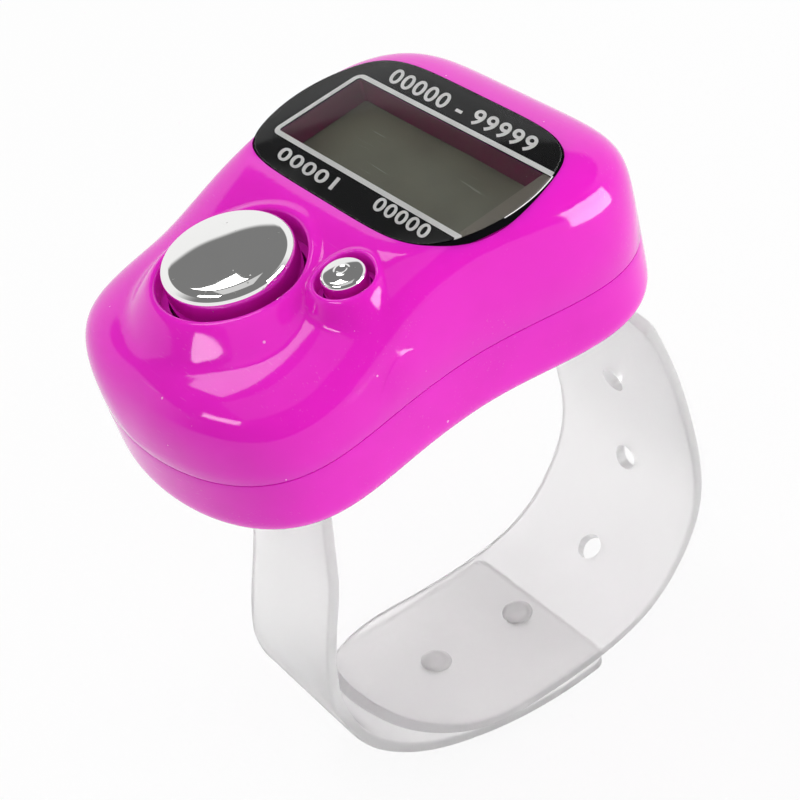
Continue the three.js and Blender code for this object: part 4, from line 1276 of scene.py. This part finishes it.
def lettering(text, name, x, y, width, height):
    """Digits printed under the lens, centred on a place and leaning back."""
    curve = bpy.data.curves.new(name, "FONT")
    curve.body = text
    curve.size = 1.0
    curve.space_character = 1.12
    curve.align_x = curve.align_y = "CENTER"
    curve.offset = 0.02
    source = linked(name, curve)
    bpy.context.view_layer.update()
    depsgraph = bpy.context.evaluated_depsgraph_get()
    mesh = bpy.data.meshes.new_from_object(source.evaluated_get(depsgraph))
    bpy.data.objects.remove(source)
    shape = bmesh.new()
    shape.from_mesh(mesh)
    bmesh.ops.remove_doubles(shape, verts=shape.verts, dist=1e-5)
    heights = [v.co.y for v in shape.verts]
    across = [v.co.x for v in shape.verts]
    scale = height / (max(heights) - min(heights))
    stretch = width / (max(across) - min(across))
    middle = (max(heights) + min(heights)) / 2
    centre = (max(across) + min(across)) / 2
    lean = sizes("display").lean
    raised = bmesh.ops.extrude_face_region(shape, geom=list(shape.faces))
    top = {v for v in raised["geom"] if isinstance(v, bmesh.types.BMVert)}
    foot = lens_levels()[0] - PRINT_FACE
    for v in shape.verts:
        lift = INK if v in top else 0
        up = (v.co.y - middle) * scale
        v.co = (x + (v.co.x - centre) * stretch - lean * up, y + up, foot + lift)
    bmesh.ops.recalc_face_normals(shape, faces=shape.faces)
    shape.to_mesh(mesh)
    shape.free()
    mesh.name = name
    return finished_object(name, mesh)


def build_lettering():
    for text, name, x, y, width, height in DIGIT_ROWS:
        height = getattr(sizes("display"), height)
        piece = lettering(text, name, x * MM, y * MM, width * MM, height)
        dress(piece, MATERIALS["silver"])


def build_glass():
    """The display glass with its film: two plates, the front one larger, with ground edges."""
    low, high = GLASS[0], GLASS[1].copy()
    high.x = sizes("display").window_right + 0.35 * MM
    top = sizes("case").seam_height + sizes("display").glass_level
    step = (low.z + high.z) / 2
    shelf = 1.3 * MM
    bevel = 0.08 * MM
    skin = Skin()

    def ring(inset_x, inset_y, z):
        return skin.loop(rounded_box((low.x + inset_x, low.y + inset_y),
                                     (high.x - inset_x, high.y - inset_y), 0.3 * MM, 6), z)

    rings = [ring(0, shelf, low.z), ring(0, shelf, step), ring(0, 0, step),
             ring(0, 0, top - bevel), ring(bevel, bevel, top)]
    skin.walls(rings, smooth=False)
    skin.cap(rings[0], up=False)
    skin.cap(rings[-1])
    piece = skin.object("lcd_plates", 30)
    dress(piece, MATERIALS["lcd"], replaces=["lcd_glass", "lcd_front_polariser"])


# Buttons and domes

def build_button(name, key, body, nodes):
    """A chromed cap with a domed top, its flange under the shell and its stem."""
    button = sizes(key)
    top = sizes("case").seam_height + float(collar_top(button)) + button.proud
    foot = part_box(nodes[0])[0].z
    flange, flange_low = well_radius(button) + button.flange, FLANGE_TOP - FLANGE_THICKNESS
    radius, edge = button.radius, button.edge_round
    profile = [(0, foot), (button.stem, foot), (button.stem, flange_low), (flange, flange_low),
               (flange, FLANGE_TOP), (radius + 0.1 * MM, FLANGE_TOP),
               (radius, FLANGE_TOP + 0.1 * MM)]
    profile += arc(radius - edge, top - edge, edge, 0, 80, 12)
    inner, level = profile[-1]
    rings = 16
    for i in range(1, rings):
        r = inner * (1 - i / rings)
        bulge = (level - top) * (r / inner) ** 6
        z = top + button.top_rise * (1 - (r / inner) ** 2) + bulge
        if button.mark_radius and abs(r - button.mark_radius) < 0.09 * MM:
            z += 0.05 * MM
        profile.append((r, z))
    profile.append((0, profile[-1][1]))
    piece = lathe(name, profile, centre_of(button))
    return dress(piece, MATERIALS["chrome"], body, nodes)


def build_dome(name, key, nodes):
    """A rubber dome under a button, turned from a profile; the real one shortens as the button goes
    down.
    """
    button = sizes(key)
    wall, lip, round_off = 0.4 * MM, 0.7 * MM, 0.1 * MM
    dome, top = button.dome, button.dome_top
    profile = [(0, DOME_TOP - wall), (top - wall, DOME_TOP - wall),
               (dome - lip, DOME_FOOT + lip / 4), (dome - lip, DOME_FOOT), (dome, DOME_FOOT),
               (dome, DOME_FOOT + lip / 2), (dome - lip / 2, DOME_FOOT + lip / 2),
               (top, DOME_TOP - round_off), (top - round_off, DOME_TOP), (0, DOME_TOP)]
    piece = lathe(name, profile, centre_of(button), 64)
    dress(piece, MATERIALS["dome"], "case", nodes)
    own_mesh(piece)


# Strap

def loop_route():
    """The strap's loop in Y and Z, sampled evenly: points and outward normals by way along it."""
    strap = sizes("strap")
    ends = [[(slot, z) for z in (BAR_LEVEL, 0.0, -0.8 * MM)]
            for slot in (strap.front_slot, strap.back_slot)]
    middle = [(y * strap.loop_reach, z * strap.loop_drop) for y, z in LOOP_SHARES]
    knots = np.array([*ends[0], *middle, *reversed(ends[1])])
    knots = np.vstack([2 * knots[0] - knots[1], knots, 2 * knots[-1] - knots[-2]])
    samples = []
    for p0, p1, p2, p3 in zip(knots, knots[1:], knots[2:], knots[3:]):
        d0, d1, d2 = (math.sqrt(np.linalg.norm(b - a)) for a, b in ((p0, p1), (p1, p2), (p2, p3)))
        leave = ((p1 - p0) / d0 - (p2 - p0) / (d0 + d1) + (p2 - p1) / d1) * d1
        arrive = ((p2 - p1) / d1 - (p3 - p1) / (d1 + d2) + (p3 - p2) / d2) * d1
        t = np.linspace(0, 1, 200, endpoint=False)[:, None]
        samples.append(p1 + leave * t + (-3 * p1 + 3 * p2 - 2 * leave - arrive) * t ** 2
                       + (2 * p1 - 2 * p2 + leave + arrive) * t ** 3)
    route = np.vstack([*samples, knots[-2:-1]])
    run = np.concatenate([[0], np.cumsum(np.linalg.norm(np.diff(route, axis=0), axis=1))])
    along = np.gradient(route, run, axis=0)
    along /= np.linalg.norm(along, axis=1)[:, None]
    return run, route, np.stack([along[:, 1], -along[:, 0]], 1)


def on_route(route, at):
    run, points, normals = route
    place = [np.interp(at, run, points[:, i]) for i in (0, 1)]
    out = [np.interp(at, run, normals[:, i]) for i in (0, 1)]
    return Vector((0, *place)), Vector((0, *out)).normalized()


def strap_section(half, inner, thickness, edge, columns=10):
    """A cross-section of the band as (x, offset) points, counter-clockwise, with round edges."""
    outer = inner + thickness
    edge = min(edge, half * 0.45)
    flat = half - edge
    section = [(-half + edge + (2 * half - 2 * edge) * i / columns, inner) for i in range(columns)]
    section += arc(flat, inner + edge, edge, -90, 0, 5)
    section += arc(flat, outer - edge, edge, 0, 90, 5)
    section += [(flat - (2 * half - 2 * edge) * i / columns, outer) for i in range(1, columns)]
    section += arc(-half + edge, outer - edge, edge, 90, 180, 5)
    section += arc(-half + edge, inner + edge, edge, 180, 262, 5)
    return section


def strap_band(name, stations, half_at, inner_at, route):
    """A band lofted along the loop, with its width and its place across the layers as rules."""
    strap = sizes("strap")
    skin = Skin()
    rings = []
    for at in stations:
        place, out = on_route(route, at)
        start = len(skin.points)
        section = strap_section(half_at(at), inner_at(at), strap.thickness, strap.edge_round)
        for x, offset in section:
            skin.points.append((x, *(place + out * offset).yz))
        rings.append(np.arange(start, len(skin.points)))
    skin.walls(rings)
    skin.cap(rings[0], up=False)
    skin.cap(rings[-1])
    piece = skin.object(name, 60)
    work = bmesh.new()
    work.from_mesh(piece.data)
    bmesh.ops.recalc_face_normals(work, faces=work.faces)
    work.to_mesh(piece.data)
    work.free()
    return piece


def across_strap(out):
    """A turn that points +Z out of the loop."""
    return out.to_track_quat("Z", "X").to_matrix().to_4x4()


def pin(route, at, radius, start, end, sides=40):
    """A round peg across the strap, as a piece of its own."""
    place, out = on_route(route, at)
    mesh = bpy.data.meshes.new("pin")
    shape = bmesh.new()
    bmesh.ops.create_cone(shape, cap_ends=True, segments=sides, radius1=radius, radius2=radius,
                          depth=end - start)
    shift = Matrix.Translation(place + out * (start + end) / 2)
    bmesh.ops.transform(shape, matrix=shift @ across_strap(out), verts=shape.verts)
    shape.to_mesh(mesh)
    shape.free()
    return linked("pin", mesh)


def strap_bar(y):
    """The bar that keeps a neck in its slot, with rounded edges."""
    return block("bar", BAR_SIZE, Matrix.Translation((0, y, BAR_LEVEL)), 0.25 * MM)


def build_hole_half():
    """The inner band, with its round tip, its holes and the neck at the back."""
    strap = sizes("strap")
    route = loop_route()
    total = route[0][-1]
    tip = strap.last_hole - strap.tip_beyond
    shoulder = total - strap.shoulder_start

    def half_at(at):
        short = 1 - min(1.0, (at - tip) / strap.tip_round)
        narrow = smooth_step(shoulder - strap.shoulder, shoulder, at)
        wide = strap.half_width * math.sqrt(max(0, 1 - short * short))
        return max(0.4 * MM, wide - (strap.half_width - strap.neck_half_width) * narrow)

    turns = np.linspace(0.04, math.pi / 2, 26)
    stations = [tip + strap.tip_round * (1 - math.cos(t)) for t in turns]
    stations += list(np.linspace(stations[-1], shoulder - strap.shoulder, 90)[1:])
    stations += list(np.linspace(stations[-1], shoulder, 14)[1:])
    stations += list(np.linspace(stations[-1], total, 20)[1:])
    band = strap_band("strap_with_holes", stations, half_at, lambda at: 0.0, route)
    pins = [pin(route, strap.last_hole + i * strap.pitch, strap.hole_radius, -2 * MM, 3 * MM)
            for i in range(strap.holes)]
    cut(band, pins)
    piece = join([band, strap_bar(neck_places()[1])], "strap_with_holes")
    return dress(piece, MATERIALS["strap"], replaces=["strap_hole_half"])


def build_stud_half():
    """The outer band, from the neck in front to its square end, with two studs."""
    strap = sizes("strap")
    route = loop_route()
    tip = strap.last_hole - strap.tip_beyond
    end = strap.last_hole + strap.pitch + strap.end_beyond
    offset = strap.thickness + strap.layer_gap

    def half_at(at):
        flare = smooth_step(strap.flare_start, strap.flare_start + strap.flare, at)
        short = 1 - min(1.0, (end - at) / strap.end_round)
        corner = strap.end_round * (1 - math.sqrt(max(0, 1 - short * short)))
        return strap.neck_half_width + (strap.half_width - strap.neck_half_width) * flare - corner

    lift = lambda at: offset * smooth_step(tip - strap.lift, tip, at)
    stations = list(np.linspace(0, end - strap.end_round, 110))
    turns = np.linspace(0, math.pi / 2 - 0.02, 10)[1:]
    stations += [end - strap.end_round * (1 - math.sin(t)) for t in turns]
    band = strap_band("strap_with_studs", stations, half_at, lift, route)
    studs = [build_stud(route, strap.last_hole + i * strap.pitch, offset) for i in range(2)]
    piece = join([band, *studs, strap_bar(neck_places()[0])], "strap_with_studs")
    return dress(piece, MATERIALS["strap"], replaces=["strap_stud_half"])


def build_stud(route, at, offset):
    """A mushroom stud: a shank through the hole and a domed head inside the loop."""
    strap = sizes("strap")
    head, shank, high = strap.stud_head, strap.stud_radius, strap.stud_height
    rest, root = -0.1 * MM, offset + 0.2 * MM
    profile = [(0, rest - high)]
    for t in np.radians(np.linspace(12, 90, 8)):
        profile.append((head * math.sin(t), rest - high * math.cos(t) - 0.02 * MM))
    profile += [(head, rest), (shank, rest), (shank, root), (0, root)]
    stud = lathe("stud", profile, (0, 0), 40)
    place, out = on_route(route, at)
    stud.data.transform(Matrix.Translation(place) @ across_strap(out))
    return stud


# Screws: one pattern, set out on points by a Geometry Nodes tree

def screw_pattern():
    """A pan head screw with a cross recess, its head's underside at the origin."""
    radius, high, shank, reach = 1.25 * MM, HEAD_HEIGHT, 0.6 * MM, 1.0 * MM
    profile = [(0, -high), (radius * 0.55, -high * 0.98), (radius * 0.85, -high * 0.78),
               (radius * 0.98, -high * 0.4), (radius, -0.04 * MM), (radius * 0.97, 0),
               (shank, 0), (shank, reach), (0, reach)]
    screw = lathe("screw_pattern", profile, (0, 0), 40)
    slot = (1.35 * MM, 0.26 * MM, 0.7 * MM)
    return cut(screw, [block("slot", slot, Matrix.Translation((0, 0, -high))
                             @ Matrix.Rotation(turn, 4, "Z")) for turn in (0, math.pi / 2)])


def scatter_tree():
    """Geometry Nodes: a pattern on each point, turned at random, made one mesh."""
    tree = bpy.data.node_groups.new("Screws on points", "GeometryNodeTree")
    tree.interface.new_socket("Points", in_out="INPUT", socket_type="NodeSocketGeometry")
    for label, kind in (("Pattern", "NodeSocketObject"), ("Finish", "NodeSocketMaterial"),
                        ("Seed", "NodeSocketInt")):
        tree.interface.new_socket(label, in_out="INPUT", socket_type=kind)
    tree.interface.new_socket("Screws", in_out="OUTPUT", socket_type="NodeSocketGeometry")
    start, end = tree.nodes.new("NodeGroupInput"), tree.nodes.new("NodeGroupOutput")
    pattern = node(tree, "GeometryNodeObjectInfo", {"Object": start.outputs["Pattern"]})
    turn = node(tree, "FunctionNodeRandomValue",
                {"Min": (0.0, 0.0, 0.0), "Max": (0.0, 0.0, 3.14159), "Seed": start.outputs["Seed"]},
                data_type="FLOAT_VECTOR")
    placed = node(tree, "GeometryNodeInstanceOnPoints",
                  {"Points": start.outputs["Points"], "Instance": pattern.outputs["Geometry"],
                   "Rotation": turn.outputs[0]})
    real = node(tree, "GeometryNodeRealizeInstances", {0: placed.outputs[0]})
    painted = node(tree, "GeometryNodeSetMaterial",
                   {"Geometry": real.outputs[0], "Material": start.outputs["Finish"]})
    tree.links.new(painted.outputs[0], end.inputs[0])
    return tree


def build_screws():
    """Every screw: heads from the pattern on points, and a threaded shank on each."""
    pattern = screw_pattern()
    tree = scatter_tree()
    sets = (
        ("case_screw_heads", "case_screw", "case", 2),
        ("board_screw_heads", "board_screw", "case", 5),
        ("cover_screw_head", "battery_door_screw", "battery_door_screw", 7),
    )
    for name, prefix, body, seed in sets:
        found = screw_places(prefix)
        points = [(place.x, place.y, low + HEAD_HEIGHT) for _, place, low, _ in found]
        mesh = bpy.data.meshes.new(name)
        mesh.from_pydata(points, [], [])
        piece = linked(name, mesh)
        modifier = piece.modifiers.new("Screws", "NODES")
        modifier.node_group = tree
        values = {"Pattern": pattern, "Finish": MATERIALS["steel"], "Seed": seed}
        for item in tree.interface.items_tree:
            if item.in_out == "INPUT" and item.name in values:
                modifier[item.identifier] = values[item.name]
        plain_mesh(piece)
        for _, place, low, high in found:
            shank_on(piece, place, low + HEAD_HEIGHT, high)
        dress(piece, MATERIALS["steel"], body, [n for n, _, _, _ in found])
    bpy.data.objects.remove(pattern)


def shank_on(piece, place, low, high):
    """Adds a threaded shank to a screw: rings that swell and shrink, with a point."""
    pitch, root, crest = 0.5 * MM, 0.44 * MM, 0.6 * MM
    turns = int((high - low - 0.7 * MM) / pitch)
    profile = [(0, low + 0.2 * MM), (root, low + 0.2 * MM)]
    for i in range(turns):
        z = low + 0.2 * MM + i * pitch
        profile += [(root, z + 0.1 * MM), (crest, z + 0.22 * MM), (root, z + 0.34 * MM)]
    profile += [(root * 0.9, high - 0.5 * MM), (0.08 * MM, high - 0.02 * MM), (0, high)]
    shank = lathe("shank", profile, (place.x, place.y), 20)
    whole = bmesh.new()
    whole.from_mesh(piece.data)
    whole.from_mesh(shank.data)
    bpy.data.objects.remove(shank)
    whole.to_mesh(piece.data)
    whole.free()


# Inner parts that keep their CAD shape

INNER_FINISHES = {
    "lcd_rear_reflector": "film", "zebra_strip_front": "zebra",
    "zebra_strip_back": "zebra", "circuit_board": "board", "chip_cover": "chip",
    "capacitor": "ceramic", "resistor": "chip", "button_cell": "nickel",
    "battery_contact_positive": "nickel", "battery_contact_negative": "nickel",
    "count_pill": "carbon", "reset_pill": "carbon",
}


def paint_inner_parts():
    for name, finish in INNER_FINISHES.items():
        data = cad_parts[name].data
        data.materials.clear()
        data.materials.append(MATERIALS[finish])


# Stage, light and camera

CAMERA_EYE = Vector((93.193, -45.440, 85.207)) * MM
CAMERA_RIGHT = Vector((0.60500, 0.76163, -0.23215))
CAMERA_UP = Vector((-0.42449, 0.55520, 0.71523))
CAMERA_LENS = 81.0

# The backdrop that mirrors see: its azimuth, how high it ends, how far round it reaches as cosines
# from its middle, the grey above and beside it, and the even grey that lights matt surfaces
BACKDROP_AZIMUTH = 150
BACKDROP_TOP = (0.465, 0.505)
BACKDROP_REACH = (-0.5, 0.35)
SURROUND_GREY = 0.22
FILL_GREY = 0.74

# Lamps: name, azimuth and elevation in degrees, width and height in metres, brightness, distance,
# and whether matt and glossy surfaces see it
LAMPS = (
    ("side_glint", 36, -3, 0.11, 0.12, 10.0, 0.16, False, True),
    ("side", 36, 12, 0.26, 0.26, 3.0, 0.4, True, False),
    ("top", 176, 64, 0.14, 0.14, 4.0, 0.4, True, True),
    ("front", -80, 44, 0.13, 0.04, 9.0, 0.25, False, True),
    ("overhead", -26, 74, 0.30, 0.30, 0.5, 0.4, True, True),
)


def build_camera():
    camera = linked("camera", bpy.data.cameras.new("camera"))
    camera.data.lens = CAMERA_LENS
    camera.data.sensor_width = 36.0
    camera.data.clip_start = 0.005
    camera.data.clip_end = 5.0
    back = CAMERA_RIGHT.cross(CAMERA_UP).normalized()
    turn = Matrix((CAMERA_RIGHT.normalized(), CAMERA_UP.normalized(), back)).transposed()
    camera.matrix_world = Matrix.Translation(CAMERA_EYE) @ turn.to_4x4()
    bpy.context.scene.camera = camera


def towards(azimuth, elevation):
    """The direction at an azimuth from +X towards +Y and a height above the horizon, in degrees."""
    a, e = math.radians(azimuth), math.radians(elevation)
    return Vector((math.cos(a) * math.cos(e), math.sin(a) * math.cos(e), math.sin(e)))


def softbox(name, azimuth, elevation, width, height, brightness, distance, diffuse, glossy):
    """A soft lamp aimed at the counter, which mirrors show at the given brightness."""
    light = bpy.data.lights.new(name, "AREA")
    light.shape = "RECTANGLE"
    light.size, light.size_y = width, height
    light.energy = brightness * math.pi * width * height
    direction = towards(azimuth, elevation)
    lamp = linked(name, light)
    lamp.location = direction * distance
    lamp.rotation_euler = (-direction).to_track_quat("-Z", "Y").to_euler()
    lamp.visible_diffuse, lamp.visible_glossy = diffuse, glossy


def seen_directly(tree):
    """1 for rays from the camera and those that metal and glass pass on."""
    rays = node(tree, "ShaderNodeLightPath").outputs
    either = math_node(tree, "MAXIMUM", rays["Is Camera Ray"], rays["Is Glossy Ray"])
    return math_node(tree, "MAXIMUM", either, rays["Is Transmission Ray"])


def build_floor():
    """A pale floor that keeps the shadow, and is clear from below to show the underside."""
    mesh = bpy.data.meshes.new("floor")
    side, level = 1.5, FLOOR_LEVEL - 0.02 * MM
    mesh.from_pydata([(-side, -side, level), (side, -side, level), (side, side, level),
                      (-side, side, level)], [], [(0, 1, 2, 3)])
    floor = linked("floor", mesh)
    material, tree, shader, _ = new_material("Pale floor", Roughness=0.9)
    shader.inputs["Base Color"].default_value = rgba(sizes("finishes").floor)
    glow = node(tree, "ShaderNodeEmission", {"Color": grey(1.0), "Strength": 1.0})
    part = math_node(tree, "MULTIPLY", seen_directly(tree), 0.88)
    above = node(tree, "ShaderNodeMixShader", {0: part, 1: shader.outputs[0], 2: glow.outputs[0]})
    below = node(tree, "ShaderNodeNewGeometry").outputs["Backfacing"]
    clear = node(tree, "ShaderNodeBsdfTransparent")
    blend = node(tree, "ShaderNodeMixShader", {0: below, 1: above.outputs[0], 2: clear.outputs[0]})
    to_surface(tree, blend)
    mesh.materials.append(material)


def build_world():
    """A pale backdrop low down behind the counter and greyer elsewhere, as the chrome shows it."""
    world = bpy.data.worlds.new("studio")
    bpy.context.scene.world = world
    world.use_nodes = True
    tree = world.node_tree
    direction = node(tree, "ShaderNodeTexCoord").outputs["Generated"]
    height = node(tree, "ShaderNodeSeparateXYZ", {0: direction}).outputs["Z"]
    behind = node(tree, "ShaderNodeVectorMath", {0: direction, 1: towards(BACKDROP_AZIMUTH, 0)},
                  operation="DOT_PRODUCT").outputs["Value"]
    low = math_node(tree, "SUBTRACT", 1.0, between(tree, height, *BACKDROP_TOP))
    pale = math_node(tree, "MULTIPLY", low, between(tree, behind, *BACKDROP_REACH))
    tone = mixed(tree, pale, grey(SURROUND_GREY), grey(1.0))
    rays = node(tree, "ShaderNodeLightPath").outputs
    tone = mixed(tree, rays["Is Diffuse Ray"], tone, grey(FILL_GREY))
    base = tree.nodes["Background"]
    tree.links.new(tone, base.inputs["Color"])
    white = node(tree, "ShaderNodeBackground", {"Color": grey(1.0), "Strength": 1.0})
    blend = node(tree, "ShaderNodeMixShader",
                 {0: rays["Is Camera Ray"], 1: base.outputs[0], 2: white.outputs[0]})
    to_surface(tree, blend, "World Output")


# Operators

class COUNTER_OT_finishes(bpy.types.Operator):
    """Makes the materials"""

    bl_idname = "counter.finishes"
    bl_label = "Finishes"

    def execute(self, context):
        make_materials()
        return {"FINISHED"}


class COUNTER_OT_case(bpy.types.Operator):
    """Builds the two shells and the battery cover"""

    bl_idname = "counter.case"
    bl_label = "Case"

    def execute(self, context):
        build_top_shell()
        build_bottom_shell()
        build_door()
        return {"FINISHED"}


class COUNTER_OT_display(bpy.types.Operator):
    """Builds the lens, the print with its digits, and the display glass"""

    bl_idname = "counter.display"
    bl_label = "Display"

    def execute(self, context):
        build_lens()
        build_print()
        build_painted_edge_glint()
        build_window_wall_painted_shade()
        build_lettering()
        build_glass()
        return {"FINISHED"}


class COUNTER_OT_buttons(bpy.types.Operator):
    """Builds both chromed buttons and the rubber domes under them"""

    bl_idname = "counter.buttons"
    bl_label = "Buttons"

    def execute(self, context):
        build_button("count_cap", "count_button", "count_button", ["count_button"])
        build_button("reset_cap", "reset_button", "reset_button", ["reset_button"])
        build_dome("count_rubber", "count_button", ["count_dome"])
        build_dome("reset_rubber", "reset_button", ["reset_dome"])
        return {"FINISHED"}


class COUNTER_OT_strap(bpy.types.Operator):
    """Builds both halves of the strap"""

    bl_idname = "counter.strap"
    bl_label = "Strap"

    def execute(self, context):
        build_hole_half()
        build_stud_half()
        return {"FINISHED"}


class COUNTER_OT_screws(bpy.types.Operator):
    """Sets out the screws"""

    bl_idname = "counter.screws"
    bl_label = "Screws"

    def execute(self, context):
        build_screws()
        return {"FINISHED"}


class COUNTER_OT_inner_parts(bpy.types.Operator):
    """Paints the inner parts that keep their CAD shape"""

    bl_idname = "counter.inner_parts"
    bl_label = "Inner parts"

    def execute(self, context):
        paint_inner_parts()
        return {"FINISHED"}


class COUNTER_OT_stage(bpy.types.Operator):
    """Sets the floor, the light and the camera"""

    bl_idname = "counter.stage"
    bl_label = "Stage"

    def execute(self, context):
        build_world()
        build_floor()
        build_camera()
        for lamp in LAMPS:
            softbox(*lamp)
        bpy.context.scene.view_settings.view_transform = "Standard"
        return {"FINISHED"}


OPERATORS = (
    COUNTER_OT_finishes, COUNTER_OT_case, COUNTER_OT_display, COUNTER_OT_buttons,
    COUNTER_OT_strap, COUNTER_OT_screws, COUNTER_OT_inner_parts, COUNTER_OT_stage,
)


class COUNTER_PT_panel(bpy.types.Panel):
    """Lists the counter's sizes and the operators that build it"""

    bl_idname = "COUNTER_PT_panel"
    bl_label = "Finger counter"
    bl_space_type = "VIEW_3D"
    bl_region_type = "UI"
    bl_category = "Counter"

    def draw(self, context):
        for name in SIZES:
            box = self.layout.box()
            group = getattr(context.scene, name)
            for key in group.bl_rna.properties.keys():
                if key not in ("rna_type", "name"):
                    box.prop(group, key)
        for operator in OPERATORS:
            self.layout.operator(operator.bl_idname)


CLASSES = (*SIZES.values(), *OPERATORS, COUNTER_PT_panel)


def register():
    for cls in CLASSES:
        bpy.utils.register_class(cls)
    for name, cls in SIZES.items():
        setattr(bpy.types.Scene, name, PointerProperty(type=cls))


def unregister():
    for name in SIZES:
        delattr(bpy.types.Scene, name)
    for cls in reversed(CLASSES):
        bpy.utils.unregister_class(cls)


def main():
    register()
    for operator in OPERATORS:
        group, name = operator.bl_idname.split(".")
        getattr(getattr(bpy.ops, group), name)()


if __name__ == "__main__":
    main()
